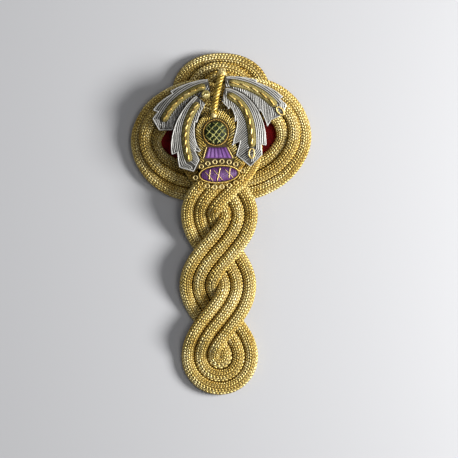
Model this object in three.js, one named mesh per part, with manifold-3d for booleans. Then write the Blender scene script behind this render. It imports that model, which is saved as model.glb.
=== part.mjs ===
import * as THREE from "three";
import { mergeVertices } from "three/addons/utils/BufferGeometryUtils.js";
import Module from "manifold-3d";

const wasm = await Module();
wasm.setup();

// Shoulder knot of three-cord gold bands with an embroidered thistle badge.
// Millimetres. X runs across, Y along towards the top loop, Z up from the surface it lies on.

// Driving sizes
const cordWidth = 5.3;
const cordHeight = 4.4;
const clearance = 0.3;
const clothThickness = 1.2;
const clothInset = 3.2;
const clothStep = 9;

// Long loop: top loop, neck, twists and bottom loop
const topLoopHalfWidth = 13.4;
const topLoopRise = 12.1;
const topLoopBank = 48;
const topLoopAlong = 20;
const topLoopSteps = 80;
const strandSteps = 240;
const footSteps = 60;
const footSettle = 20;
const longSection = { longest: 3.9, sharpest: 15 };
const legHalfWidth = 9.2;
const legAlong = 5;
const shoulderHalfWidth = 10;
const shoulderAlong = -4;
const firstBulgeAlong = -32.2;
const twistStep = 31.2;
const swapShare = 0.525;
const strandSpread = 1.06;

// Ring of the two side lobes
const ringHalfWidth = 39.4;
const ringSteps = 360;
const ringSection = { longest: 4.1, sharpest: 10 };

// Badge
const badgeLength = 53.4;
const badgeLift = 0.55;
const leafThickness = 1.5;
const leafTilt = 7;
const midribWidth = 3.6;
const midribThickness = 0.9;
const groundThickness = 1.0;
const stemRadius = 1.35;
const knobRadius = 1.75;
const cupWidth = 9.5;
const cupLength = 9.8;
const cupRise = 2.1;
const rimWire = 0.4;
const flowerThickness = 1.0;
const padWidth = 16.0;
const padLength = 6.2;
const padRise = 1.3;
const padTurn = 4;
const flowerWire = 0.35;
const loopRadius = 0.88;
const loopWire = 0.26;
const curlRadius = 1.35;
const curlWire = 0.6;
const endLoopLength = 4.2;
const endLoopWidth = 2.3;
const endWire = 0.35;
const groundTeeth = 26;
const groundTooth = 0.35;
const padMargin = 0.75;
const loopClearance = 0.15;
const padSides = 24;

// Fits that follow from the sizes above
const cordPitch = cordWidth + clearance;
const layerStep = cordHeight + clearance;
const firstLayer = clothThickness + clearance + cordHeight / 2;
const tableLayer = cordHeight / 2;
const bulgeHalfWidth = cordPitch * 1.5;
const badgeBase = clothThickness + 3 * layerStep + badgeLift;
const strandStep = layerStep * strandSpread;
const badgeTop = badgeBase + groundThickness + clearance;
const leafTop = badgeBase + leafThickness + clearance;
const badgeUnit = badgeLength / 100;
const loopBand = clearance + 2 * flowerWire + clearance + 2 * (loopRadius + loopWire);

// Where the right-hand strand swings across, in order from the top loop down,
// and how far both strands drift to the right, in cord widths
const swings = [
  { along: topLoopAlong, across: topLoopHalfWidth, drift: 0 },
  { along: legAlong, across: legHalfWidth, drift: -0.09 },
  { along: shoulderAlong, across: shoulderHalfWidth, drift: -0.07 },
  { along: firstBulgeAlong, across: -bulgeHalfWidth, drift: -0.15 },
  { along: firstBulgeAlong - twistStep, across: bulgeHalfWidth, drift: -0.28 },
  { along: firstBulgeAlong - 2 * twistStep, across: -bulgeHalfWidth, drift: -0.12 },
];
const bottomAlong = swings[5].along;
const bottomDrift = swings[5].drift * cordWidth;

// Mean height of the two strands, in layers above the first layer on the cloth.
// A place is a row of the swings above and the share of the way to the next row.
const strandHeights = [
  { place: 0, layers: 0 },
  { place: 0.667, layers: 0 },
  { place: 2.106, layers: 1.08 },
  { place: 2.319, layers: 1.52 },
  { place: 2.816, layers: 1.5 },
  { place: 3.026, layers: 1.05 },
  { place: 3.282, layers: 0.62 },
  { place: 3.699, layers: 0.5 },
  { place: 4.244, layers: 0.19 },
  { place: 4.724, layers: 0.19 },
  { place: 5, layers: -0.3 },
];

// Places where the right-hand strand climbs over the left-hand one above the neck
const neckClimb = { from: 2.106, to: 2.333 };

// Ring outline and heights round its centre, from the right side anticlockwise.
// Reach is a share of the half width, outer, inner and crown are in layers.
const ringStations = [
  { reach: 0.998, outer: 0.0, inner: 0.12, crown: 0.45 },
  { reach: 0.978, outer: 0.25, inner: 0.85, crown: 0.4 },
  { reach: 0.887, outer: 0.98, inner: 1.04, crown: 0.3 },
  { reach: 0.752, outer: 1.6, inner: 1.08, crown: 0.05 },
  { reach: 0.622, outer: 2.04, inner: 1.06, crown: 0.0 },
  { reach: 0.724, outer: 1.6, inner: 1.08, crown: 0.05 },
  { reach: 0.827, outer: 1.0, inner: 1.04, crown: 0.35 },
  { reach: 0.941, outer: 0.3, inner: 0.85, crown: 0.5 },
  { reach: 1.003, outer: 0.0, inner: 0.12, crown: 0.72 },
  { reach: 0.951, outer: 0.0, inner: 0.0, crown: 0.6 },
  { reach: 0.844, outer: 0.0, inner: 0.0, crown: 0.25 },
  { reach: 0.73, outer: 0.0, inner: 0.0, crown: 0.0 },
  { reach: 0.7, outer: 0.0, inner: 0.0, crown: 0.0 },
  { reach: 0.716, outer: 0.0, inner: 0.0, crown: 0.0 },
  { reach: 0.797, outer: 0.0, inner: 0.0, crown: 0.15 },
  { reach: 0.907, outer: 0.0, inner: 0.0, crown: 0.35 },
];

// Leaves, in hundredths of the badge length: midrib from root through bend to tip,
// blade reach on the outer and inner side, barbs as shares along the midrib.
const leaves = [
  {
    name: "upper_left", root: [-8.6, 45.1], bend: [-36.5, 39.3], tip: [-47.4, 15.5], turn: 1,
    outer: 8.3, inner: 10.7, point: 8, outerBarbs: [0.5, 0.84], innerBarbs: [0.86], tilt: 1,
  },
  {
    name: "lower_left", root: [-15.4, 34.1], bend: [-36.5, 12.2], tip: [-25.5, -17.2], turn: 1,
    outer: 9.1, inner: 6.7, point: 9, outerBarbs: [0.78], innerBarbs: [0.3, 0.8], tilt: 0,
  },
  {
    name: "upper_right", root: [2.1, 47.2], bend: [29.2, 46.8], tip: [46.8, 25.5], turn: -1,
    outer: 6.3, inner: 13.2, point: 6, outerBarbs: [0.42, 0.84], innerBarbs: [0.66, 0.95], tilt: 1,
  },
  {
    name: "lower_right", root: [0.6, 38.2], bend: [28.2, 32.2], tip: [24.7, -10.5], turn: -1,
    outer: 8.3, inner: 13.3, point: 11, outerBarbs: [0.86], innerBarbs: [0.16, 0.42, 0.8], tilt: 0,
  },
];

// Edge of the gold ground, in hundredths of the badge length, from the cup down
const groundRows = [
  { along: 24.5, left: -8.5, right: 0.5 },
  { along: 18.2, left: -16, right: 7.5 },
  { along: 10.5, left: -20.5, right: 11.5 },
  { along: 3.8, left: -20.5, right: 11 },
  { along: -2.6, left: -19.3, right: 10.5 },
  { along: -11.8, left: -21, right: 16.5 },
  { along: -18.5, left: -22.5, right: 17 },
  { along: -23.5, left: -20, right: 13.5 },
];

// Purple flower between the cup rim and the upper loops: its corners in order,
// across from the middle of the cup as shares of the cup width
const flowerCorners = [
  { across: -0.354, end: "cup" },
  { across: -0.5, end: "loops" },
  { across: 0.72, end: "loops" },
  { across: 0.466, end: "cup" },
];

// Places on the badge, in hundredths of the badge length
const cupCentre = { across: -4.4, along: 6.2 };
const padCentre = { across: -1.7, along: -27.6 };
const stemTop = { across: 0.8, along: 55.5 };
const stemBend = { across: -4.6, along: 37 };
const stemFootAcross = -6;
const curlFromRoot = { across: 2.8, along: 3.3 };
const upperLoops = { count: 6, from: 136, to: 44 };
const lowerLoops = { count: 9, from: 188, to: 368 };

// Materials
const gold = { color: 0xc9a34a, roughness: 0.38, metalness: 0.85 };
const paleGold = { color: 0xe2c277, roughness: 0.32, metalness: 0.85 };
const silver = { color: 0xc9cbd2, roughness: 0.35, metalness: 0.85 };
const redWool = { color: 0x5a1312, roughness: 0.95, metalness: 0 };
const greenSilk = { color: 0x24301a, roughness: 0.7, metalness: 0 };
const purpleSilk = { color: 0x7a4fb0, roughness: 0.5, metalness: 0 };

const group = new THREE.Group();

function add(name, geometry, look) {
  const mesh = new THREE.Mesh(geometry, new THREE.MeshStandardMaterial(look));
  mesh.name = name;
  group.add(mesh);
}

function clamp(value, low, high) {
  return Math.min(high, Math.max(low, value));
}

function smooth(share) {
  const t = clamp(share, 0, 1);
  return t * t * (3 - 2 * t);
}

// Place in the table of swings of a distance along
function placeOf(along) {
  let i = 0;
  while (i < swings.length - 2 && along < swings[i + 1].along) i += 1;
  return i + clamp((swings[i].along - along) / (swings[i].along - swings[i + 1].along), 0, 1);
}

// Height table at a place, eased from row to row
function heightAt(place) {
  const rows = strandHeights;
  let i = 0;
  while (i < rows.length - 2 && place > rows[i + 1].place) i += 1;
  const share = (place - rows[i].place) / (rows[i + 1].place - rows[i].place);
  return rows[i].layers + (rows[i + 1].layers - rows[i].layers) * smooth(share);
}

function swing(along) {
  const place = placeOf(along);
  const i = Math.min(Math.floor(place), swings.length - 2);
  const share = place - i;
  const mid = (swings[i].across + swings[i + 1].across) / 2;
  const half = (swings[i].across - swings[i + 1].across) / 2;
  return mid + half * Math.cos(Math.PI * share);
}

// Height of the right-hand strand above the left-hand one, in layers: 1 on top, -1 under
function strandLead(along) {
  const swapHalf = (swapShare * twistStep) / 2;
  if (along > firstBulgeAlong + swapHalf) {
    return smooth((placeOf(along) - neckClimb.from) / (neckClimb.to - neckClimb.from));
  }
  for (let i = 3; i < swings.length; i += 1) {
    const away = (along - swings[i].along) / swapHalf;
    if (Math.abs(away) <= 1) {
      const side = i % 2 === 1 ? 1 : -1;
      return side * Math.sin((Math.PI / 2) * away);
    }
  }
  return along > swings[4].along ? -1 : 1;
}

function strandHeight(along, side) {
  const mean = firstLayer + layerStep * heightAt(placeOf(along));
  return Math.max(tableLayer, mean + (side * strandStep * strandLead(along)) / 2);
}

function driftAt(along) {
  const place = placeOf(along);
  const i = Math.min(Math.floor(place), swings.length - 2);
  const a = swings[i].drift;
  return cordWidth * (a + (swings[i + 1].drift - a) * smooth(place - i));
}

// Middle line of the long loop: down the right-hand strand, round the foot, up the other, over the top
function longLoopPath() {
  const path = [];
  for (let i = 0; i < strandSteps; i += 1) {
    const along = topLoopAlong + ((bottomAlong - topLoopAlong) * i) / strandSteps;
    const x = swing(along) + driftAt(along);
    path.push({ x, y: along, z: strandHeight(along, 1), bank: 0 });
  }
  for (let i = 0; i < footSteps; i += 1) {
    const turn = (Math.PI * i) / footSteps;
    const drop = smooth(i / footSettle);
    const start = strandHeight(bottomAlong, 1);
    path.push({
      x: bottomDrift - bulgeHalfWidth * Math.cos(turn),
      y: bottomAlong - bulgeHalfWidth * Math.sin(turn),
      z: start + (tableLayer - start) * drop,
      bank: 0,
    });
  }
  for (let i = 0; i < strandSteps; i += 1) {
    const along = bottomAlong + ((topLoopAlong - bottomAlong) * i) / strandSteps;
    const x = -swing(along) + driftAt(along);
    path.push({ x, y: along, z: strandHeight(along, -1), bank: 0 });
  }
  for (let i = 0; i < topLoopSteps; i += 1) {
    const turn = (Math.PI * i) / topLoopSteps;
    const bank = topLoopBank * (Math.PI / 180) * Math.sin(turn) ** 2;
    path.push({
      x: -topLoopHalfWidth * Math.cos(turn),
      y: topLoopAlong + topLoopRise * Math.sin(turn),
      z: firstLayer + layerStep * Math.sin(bank),
      bank,
    });
  }
  return path;
}

// Unit vector to the right of the way along a closed path, in plan
function sideways(path, i) {
  const a = path[(i + path.length - 1) % path.length];
  const b = path[(i + 1) % path.length];
  const length = Math.hypot(b.x - a.x, b.y - a.y);
  return { x: (b.y - a.y) / length, y: (a.x - b.x) / length };
}

// Places to put the sections of a cord: close together where the path turns
function sectionPlaces(path, { longest, sharpest }) {
  const places = [0];
  let length = 0;
  let turn = 0;
  for (let i = 1; i < path.length; i += 1) {
    const a = path[i - 1];
    const b = path[i];
    const c = path[(i + 1) % path.length];
    length += Math.hypot(b.x - a.x, b.y - a.y, b.z - a.z);
    const before = new THREE.Vector3(b.x - a.x, b.y - a.y, b.z - a.z);
    turn += before.angleTo(new THREE.Vector3(c.x - b.x, c.y - b.y, c.z - b.z));
    if (length > longest || turn > sharpest * (Math.PI / 180)) {
      places.push(i);
      length = 0;
      turn = 0;
    }
  }
  return places;
}

// Closed cord of oval section: a torus bent to the path, its sides kept level
function closedCord(points, halfWidth, halfHeight, sides) {
  const count = points.length;
  const geometry = new THREE.TorusGeometry(1, 0.5, sides, count);
  const positions = geometry.getAttribute("position");
  const up = new THREE.Vector3(0, 0, 1);
  for (let j = 0; j <= sides; j += 1) {
    const turn = (2 * Math.PI * (j % sides)) / sides;
    for (let i = 0; i <= count; i += 1) {
      const before = points[(i + count - 1) % count];
      const after = points[(i + 1) % count];
      const way = new THREE.Vector3().subVectors(after, before).normalize();
      const side = new THREE.Vector3().crossVectors(way, up).normalize();
      const rise = new THREE.Vector3().crossVectors(side, way);
      const at = points[i % count].clone();
      at.addScaledVector(side, halfWidth * Math.cos(turn));
      at.addScaledVector(rise, halfHeight * Math.sin(turn));
      positions.setXYZ(j * (count + 1) + i, at.x, at.y, at.z);
    }
  }
  geometry.computeVertexNormals();
  return geometry;
}

// Open bar of oval section along points that lie in one level plane or nearly
function openBar(points, halfWidth, halfHeight, sides) {
  const section = [];
  for (let j = 0; j < sides; j += 1) {
    const turn = (2 * Math.PI * j) / sides;
    section.push(new THREE.Vector2(halfHeight * Math.cos(turn), halfWidth * Math.sin(turn)));
  }
  return new THREE.ExtrudeGeometry(new THREE.Shape(section), {
    steps: points.length - 1,
    extrudePath: new THREE.CatmullRomCurve3(points),
    bevelEnabled: false,
  });
}

// Long loop cords
const longPath = longLoopPath();
const longPlaces = sectionPlaces(longPath, longSection);
const longCords = [
  { name: "long_loop_cord_outer", lane: 1 },
  { name: "long_loop_cord_middle", lane: 0 },
  { name: "long_loop_cord_inner", lane: -1 },
];
for (const cord of longCords) {
  const points = longPlaces.map((i) => {
    const at = longPath[i];
    const side = sideways(longPath, i);
    const out = cord.lane * cordPitch * Math.cos(at.bank);
    const lift = cord.lane * layerStep * Math.sin(at.bank);
    return new THREE.Vector3(at.x + side.x * out, at.y + side.y * out, at.z + lift);
  });
  add(cord.name, closedCord(points, cordWidth / 2, cordHeight / 2, 8), gold);
}

// Ring cords
function ringAt(turn, key) {
  const count = ringStations.length;
  const place = (turn / (2 * Math.PI)) * count;
  const i = Math.floor(place);
  const t = place - i;
  const value = (k) => ringStations[(i + k + count) % count][key];
  const a = value(-1);
  const b = value(0);
  const c = value(1);
  const d = value(2);
  return b + (t * (c - a + t * (2 * a - 5 * b + 4 * c - d + t * (3 * (b - c) + d - a)))) / 2;
}

function ringEdge() {
  const path = [];
  for (let i = 0; i < ringSteps; i += 1) {
    const turn = (2 * Math.PI * i) / ringSteps;
    const reach = ringHalfWidth * ringAt(turn, "reach");
    path.push({ x: reach * Math.cos(turn), y: reach * Math.sin(turn), z: 0, turn });
  }
  return path;
}

const ringPath = ringEdge();
const ringPlaces = sectionPlaces(ringPath, ringSection);
const ringCords = [
  { name: "ring_cord_outer", lane: 0 },
  { name: "ring_cord_middle", lane: 1 },
  { name: "ring_cord_inner", lane: 2 },
];
function ringPoint(i, lane) {
  const at = ringPath[i];
  const side = sideways(ringPath, i);
  const outer = ringAt(at.turn, "outer");
  const inner = ringAt(at.turn, "inner");
  const middle = (outer + inner) / 2 + Math.max(0, ringAt(at.turn, "crown"));
  const levels = [outer, middle, inner];
  let inset = cordWidth / 2;
  for (let k = 1; k <= lane; k += 1) {
    const rise = clamp(Math.abs(levels[k] - levels[k - 1]), 0, 0.8);
    inset += cordPitch * Math.sqrt(1 - rise * rise);
  }
  const z = firstLayer + layerStep * levels[lane];
  return new THREE.Vector3(at.x - side.x * inset, at.y - side.y * inset, z);
}
for (const cord of ringCords) {
  const points = ringPlaces.map((i) => ringPoint(i, cord.lane));
  add(cord.name, closedCord(points, cordWidth / 2, cordHeight / 2, 8), gold);
}

// Plates cut from outlines, and solids joined or cut
function plate(points, bottom, top) {
  const shape = new THREE.Shape(points.map(([x, y]) => new THREE.Vector2(x, y)));
  const geometry = new THREE.ExtrudeGeometry(shape, { depth: top - bottom, bevelEnabled: false });
  return geometry.translate(0, 0, bottom);
}

function solidOf(geometry) {
  const bare = new THREE.BufferGeometry();
  bare.setAttribute("position", geometry.getAttribute("position"));
  if (geometry.index) bare.setIndex(geometry.index);
  const merged = mergeVertices(bare, 1e-3);
  return new wasm.Manifold(
    new wasm.Mesh({
      numProp: 3,
      vertProperties: merged.getAttribute("position").array,
      triVerts: new Uint32Array(merged.index.array),
    }),
  );
}

function geometryOf(solid) {
  const pieces = solid.decompose();
  const made = pieces.reduce((a, b) => (a.volume() >= b.volume() ? a : b)).getMesh();
  const positions = new Float32Array(made.numVert * 3);
  for (let i = 0; i < made.numVert; i += 1) {
    for (let k = 0; k < 3; k += 1) {
      positions[i * 3 + k] = made.vertProperties[i * made.numProp + k];
    }
  }
  const geometry = new THREE.BufferGeometry();
  geometry.setAttribute("position", new THREE.BufferAttribute(positions, 3));
  geometry.setIndex(new THREE.BufferAttribute(made.triVerts, 1));
  return geometry;
}

// Backing cloth, cut inside the outer edge of the ring and of the top loop
function ringClothOutline() {
  const points = [];
  for (let i = 0; i < ringPath.length; i += clothStep) {
    const side = sideways(ringPath, i);
    points.push([ringPath[i].x - side.x * clothInset, ringPath[i].y - side.y * clothInset]);
  }
  return points;
}

function topClothOutline() {
  const points = [];
  for (let i = longPath.length - topLoopSteps; i < longPath.length; i += 8) {
    const at = longPath[i];
    const side = sideways(longPath, i);
    const reach = cordPitch * Math.cos(at.bank) + cordWidth / 2 - clothInset;
    points.push([at.x - side.x * reach, at.y - side.y * reach]);
  }
  const half = topLoopHalfWidth + cordPitch + cordWidth / 2 - clothInset;
  points.push([half, topLoopAlong], [half, 0], [-half, 0]);
  return points.reverse();
}
const ringCloth = solidOf(plate(ringClothOutline(), 0, clothThickness));
const topCloth = solidOf(plate(topClothOutline(), 0, clothThickness));
add("backing_cloth", geometryOf(ringCloth.add(topCloth)), redWool);

// Leaves
function leafPoint(leaf, share) {
  const u = 1 - share;
  const at = [0, 1].map(
    (k) => u * u * leaf.root[k] + 2 * u * share * leaf.bend[k] + share * share * leaf.tip[k],
  );
  const way = [0, 1].map(
    (k) => u * (leaf.bend[k] - leaf.root[k]) + share * (leaf.tip[k] - leaf.bend[k]),
  );
  const length = Math.hypot(way[0], way[1]);
  return {
    at: at.map((v) => v * badgeUnit),
    way: way.map((v) => v / length),
  };
}

// Reach of a blade: it widens from the root, and from each barb starts again narrower
function bladeReach(full, barbs, share) {
  const stops = [0, ...barbs, 1.04];
  let i = 0;
  while (i < stops.length - 2 && share > stops[i + 1]) i += 1;
  const part = clamp((share - stops[i]) / (stops[i + 1] - stops[i]), 0, 1);
  const body = 0.34 + 0.66 * Math.min(1, share / 0.7);
  const low = i === 0 ? 0.7 : 0.6;
  const fade = i === stops.length - 2 ? 0.8 : 1;
  return full * badgeUnit * body * fade * (low + (1 - low) * part);
}

const bladeSlant = 0.45;

function bladeEdge(leaf, side) {
  const barbs = side > 0 ? leaf.outerBarbs : leaf.innerBarbs;
  const full = side > 0 ? leaf.outer : leaf.inner;
  const shares = [0.02];
  for (let share = 0.08; share < 1; share += 0.08) shares.push(share);
  for (const barb of barbs) shares.push(barb, barb + 0.012);
  shares.sort((a, b) => a - b);
  return shares.map((share) => {
    const { at, way } = leafPoint(leaf, share);
    const blade = bladeReach(full, barbs, share) * smooth(share / 0.06 + 0.35);
    const reach = midribWidth / 2 + blade;
    const out = [-way[1] * leaf.turn * -side, way[0] * leaf.turn * -side];
    const slant = bladeSlant * reach * smooth(share * 3);
    return [at[0] + out[0] * reach + way[0] * slant, at[1] + out[1] * reach + way[1] * slant];
  });
}

function leafOutline(leaf) {
  const end = leafPoint(leaf, 1);
  const reach = leaf.point * badgeUnit;
  const tip = [end.at[0] + end.way[0] * reach, end.at[1] + end.way[1] * reach];
  const outer = bladeEdge(leaf, 1);
  const inner = bladeEdge(leaf, -1);
  return [...outer, tip, ...inner.reverse()];
}

// Drop of a leaf towards its tip
function leafDrop(leaf, x, y) {
  const root = leaf.root.map((v) => v * badgeUnit);
  const tip = leaf.tip.map((v) => v * badgeUnit);
  const length = Math.hypot(tip[0] - root[0], tip[1] - root[1]);
  const far = ((x - root[0]) * (tip[0] - root[0]) + (y - root[1]) * (tip[1] - root[1])) / length;
  return leaf.tilt * far * Math.tan((leafTilt * Math.PI) / 180);
}

function dropped(geometry, leaf) {
  const positions = geometry.getAttribute("position");
  for (let i = 0; i < positions.count; i += 1) {
    const drop = leafDrop(leaf, positions.getX(i), positions.getY(i));
    positions.setZ(i, positions.getZ(i) - drop);
  }
  return geometry;
}

// A leaf and the room to leave round it: copies of it set out all round, joined
function leafBlock(leaf) {
  return plate(leafOutline(leaf), badgeBase, badgeBase + leafThickness);
}
function leafRoom(leaf) {
  let room = solidOf(leafBlock(leaf));
  for (let k = 0; k < 8; k += 1) {
    const turn = (Math.PI * k) / 4;
    const block = plate(leafOutline(leaf), badgeBase - clearance, leafTop);
    const out = clearance / Math.cos(Math.PI / 8);
    room = room.add(solidOf(block.translate(out * Math.cos(turn), out * Math.sin(turn), 0)));
  }
  return room;
}

// Room for a small wire loop that lies beside a leaf
function loopRoom([x, y]) {
  const reach = loopRadius + loopWire + loopClearance;
  const disc = [];
  for (let i = 0; i < 16; i += 1) {
    const turn = (Math.PI * i) / 8;
    disc.push([x + reach * Math.cos(turn), y + reach * Math.sin(turn)]);
  }
  return solidOf(plate(disc, badgeBase - clearance, leafTop));
}

// The lower leaves lie whole; the upper leaves and the ground stop short of them
for (const leaf of leaves) {
  let solid = solidOf(leafBlock(leaf));
  for (const at of [...loopPlaces(upperLoops), ...loopPlaces(lowerLoops)]) {
    solid = solid.subtract(loopRoom(at));
  }
  for (const other of leaves) {
    if (leaf.tilt > other.tilt && leaf.turn === other.turn) {
      solid = solid.subtract(leafRoom(other));
    }
  }
  add("leaf_" + leaf.name, dropped(geometryOf(solid), leaf), silver);
}

// Midribs, with a small gold loop at the end of the two on the right.
// They start and end at shares of the leaf's middle line.
const midribStart = 0.08;
const loopedEnd = 0.94;
for (const leaf of leaves) {
  const looped = leaf.turn < 0;
  const last = looped ? loopedEnd : 1;
  const points = [];
  for (let i = 0; i <= 9; i += 1) {
    const { at } = leafPoint(leaf, midribStart + ((last - midribStart) * i) / 9);
    points.push(new THREE.Vector3(at[0], at[1], leafTop + midribThickness / 2));
  }
  const strip = openBar(points, midribWidth / 2, midribThickness / 2, 6);
  add("midrib_" + leaf.name, dropped(strip, leaf), gold);
  if (looped) {
    const end = leafPoint(leaf, last);
    const reach = endLoopLength / 2 + endWire + clearance;
    const loop = ovalRing(
      end.at[0] + end.way[0] * reach,
      end.at[1] + end.way[1] * reach,
      leafTop + endWire,
      endLoopLength / 2,
      endLoopWidth / 2,
      Math.atan2(end.way[1], end.way[0]),
      endWire,
      12,
    );
    add("midrib_end_" + leaf.name, dropped(loop, leaf), paleGold);
  }
}

// Round curl beside the root of the lower left leaf
const lowerLeftRoot = leaves[1].root;
add(
  "leaf_curl",
  ovalRing(
    (lowerLeftRoot[0] + curlFromRoot.across) * badgeUnit,
    (lowerLeftRoot[1] + curlFromRoot.along) * badgeUnit,
    leafTop + curlWire,
    curlRadius,
    curlRadius,
    0,
    curlWire,
    16,
  ),
  paleGold,
);

// Gold ground: toothed edge round the cup and flower, oval under the pad
function groundAt(along, key) {
  let i = 0;
  while (i < groundRows.length - 2 && along < groundRows[i + 1].along) i += 1;
  const share = (groundRows[i].along - along) / (groundRows[i].along - groundRows[i + 1].along);
  return groundRows[i][key] + (groundRows[i + 1][key] - groundRows[i][key]) * share;
}

function groundOutline() {
  const first = groundRows[0].along;
  const last = groundRows[groundRows.length - 1].along;
  const left = [];
  const right = [];
  for (let i = 0; i <= groundTeeth; i += 1) {
    const along = first + ((last - first) * i) / groundTeeth;
    const tooth = (i % 2 === 0 ? 1 : -1) * groundTooth;
    left.push([groundAt(along, "left") * badgeUnit - tooth, along * badgeUnit]);
    right.push([groundAt(along, "right") * badgeUnit + tooth, along * badgeUnit]);
  }
  return [...left, ...right.reverse()];
}

// Point on an oval round the middle of the lower pad
function onPad(halfWidth, halfLength, turn) {
  const tilt = (padTurn * Math.PI) / 180;
  const x = halfWidth * Math.cos(turn);
  const y = halfLength * Math.sin(turn);
  return [
    padCentre.across * badgeUnit + x * Math.cos(tilt) - y * Math.sin(tilt),
    padCentre.along * badgeUnit + x * Math.sin(tilt) + y * Math.cos(tilt),
  ];
}

const groundTop = badgeBase + groundThickness;
const padGround = [];
for (let i = 0; i < padSides; i += 1) {
  const turn = (2 * Math.PI * i) / padSides;
  padGround.push(onPad(padWidth / 2 + padMargin, padLength / 2 + padMargin, turn));
}
let ground = solidOf(plate(groundOutline(), badgeBase, groundTop)).add(
  solidOf(plate(padGround, badgeBase, groundTop)),
);
for (const leaf of leaves) ground = ground.subtract(leafRoom(leaf));
add("badge_ground", geometryOf(ground), gold);

// Stem with a knob at each end, from the top down to the cup rim
const cupX = cupCentre.across * badgeUnit;
const cupY = cupCentre.along * badgeUnit;
const cupReach = cupLength / 2 + clearance + 2 * rimWire + clearance;
const knobTop = new THREE.Vector3(
  stemTop.across * badgeUnit,
  stemTop.along * badgeUnit,
  badgeBase + knobRadius,
);
const knobFoot = new THREE.Vector3(
  stemFootAcross * badgeUnit,
  cupY + cupReach + stemRadius,
  badgeTop + stemRadius,
);
const stemLine = new THREE.QuadraticBezierCurve3(
  knobTop,
  new THREE.Vector3(
    stemBend.across * badgeUnit,
    stemBend.along * badgeUnit,
    (knobTop.z + knobFoot.z) / 2,
  ),
  knobFoot,
);
const stemLength = stemLine.getLength();
const stemFrom = (knobRadius + clearance) / stemLength;
const stemTo = 1 - (stemRadius + clearance) / stemLength;
const stemPoints = [];
for (let i = 0; i <= 9; i += 1) {
  stemPoints.push(stemLine.getPointAt(stemFrom + ((stemTo - stemFrom) * i) / 9));
}
add("stem", openBar(stemPoints, stemRadius, stemRadius, 8), gold);
add("stem_knob_top", ball(knobTop, knobRadius, 12), paleGold);
add("stem_knob_foot", ball(knobFoot, stemRadius, 12), paleGold);

// Thistle cup: low dome in a twisted rim
add("thistle_cup", dome(cupX, cupY, cupWidth / 2, cupLength / 2, cupRise, 0), greenSilk);
add(
  "cup_rim",
  ovalRing(
    cupX,
    cupY,
    badgeTop + rimWire,
    cupWidth / 2 + clearance + rimWire,
    cupLength / 2 + clearance + rimWire,
    0,
    rimWire,
    20,
  ),
  gold,
);

// Thistle flower between two gold lines
const padY = padCentre.along * badgeUnit;
const flowerEnds = {
  cup: cupY - cupReach,
  loops: padY + padLength / 2 + loopBand + clearance,
};
const flowerPoints = flowerCorners.map((c) => [cupX + c.across * cupWidth, flowerEnds[c.end]]);
add(
  "thistle_flower",
  plate(flowerPoints, badgeTop, badgeTop + flowerThickness),
  purpleSilk,
);
const flowerSides = [
  { name: "flower_edge_left", top: 0, bottom: 1, side: -1 },
  { name: "flower_edge_right", top: 3, bottom: 2, side: 1 },
];
for (const edge of flowerSides) {
  const out = edge.side * (clearance + flowerWire * 1.05);
  const points = [edge.top, edge.bottom].map((k) => {
    const [x, y] = flowerPoints[k];
    return new THREE.Vector3(x + out, y, badgeTop + flowerWire);
  });
  add(edge.name, openBar(points, flowerWire, flowerWire, 6), paleGold);
}

// Lower pad in a twisted rim
add(
  "lower_pad",
  dome(
    padCentre.across * badgeUnit,
    padCentre.along * badgeUnit,
    padWidth / 2,
    padLength / 2,
    padRise,
    padTurn,
  ),
  purpleSilk,
);
add(
  "pad_rim",
  ovalRing(
    padCentre.across * badgeUnit,
    padCentre.along * badgeUnit,
    badgeTop + flowerWire,
    padWidth / 2 + clearance + flowerWire,
    padLength / 2 + clearance + flowerWire,
    (padTurn * Math.PI) / 180,
    flowerWire,
    22,
  ),
  gold,
);

// Small wire loops round the lower pad, spaced evenly along an oval
function loopPlaces(row) {
  const out = loopBand - loopRadius - loopWire;
  const fine = [];
  let length = 0;
  for (let i = 0; i <= 200; i += 1) {
    const turn = ((row.from + ((row.to - row.from) * i) / 200) * Math.PI) / 180;
    const at = onPad(padWidth / 2 + out, padLength / 2 + out, turn);
    if (i > 0) length += Math.hypot(at[0] - fine[i - 1].at[0], at[1] - fine[i - 1].at[1]);
    fine.push({ at, length });
  }
  const places = [];
  for (let k = 0; k < row.count; k += 1) {
    const want = (length * k) / (row.count - 1);
    places.push(fine.find((f) => f.length >= want - 1e-9).at);
  }
  return places;
}
const loopRows = [
  { name: "upper_loop_", row: upperLoops, base: badgeTop },
  { name: "lower_loop_", row: lowerLoops, base: badgeBase },
];
for (const { name, row, base } of loopRows) {
  loopPlaces(row).forEach((at, k) => {
    const ring = ovalRing(at[0], at[1], base + loopWire, loopRadius, loopRadius, 0, loopWire, 8);
    add(name + (k + 1), ring, paleGold);
  });
}

// Solids the pieces above are made of
function ovalRing(x, y, z, halfWidth, halfLength, turn, wire, count) {
  const points = [];
  for (let i = 0; i < count; i += 1) {
    const a = (2 * Math.PI * i) / count;
    const px = halfWidth * Math.cos(a);
    const py = halfLength * Math.sin(a);
    points.push(
      new THREE.Vector3(
        x + px * Math.cos(turn) - py * Math.sin(turn),
        y + px * Math.sin(turn) + py * Math.cos(turn),
        z,
      ),
    );
  }
  return closedCord(points, wire, wire, 5);
}

function ball(centre, radius, count) {
  const geometry = new THREE.SphereGeometry(radius, count, Math.round(count * 0.6));
  return geometry.translate(centre.x, centre.y, centre.z);
}

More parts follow.
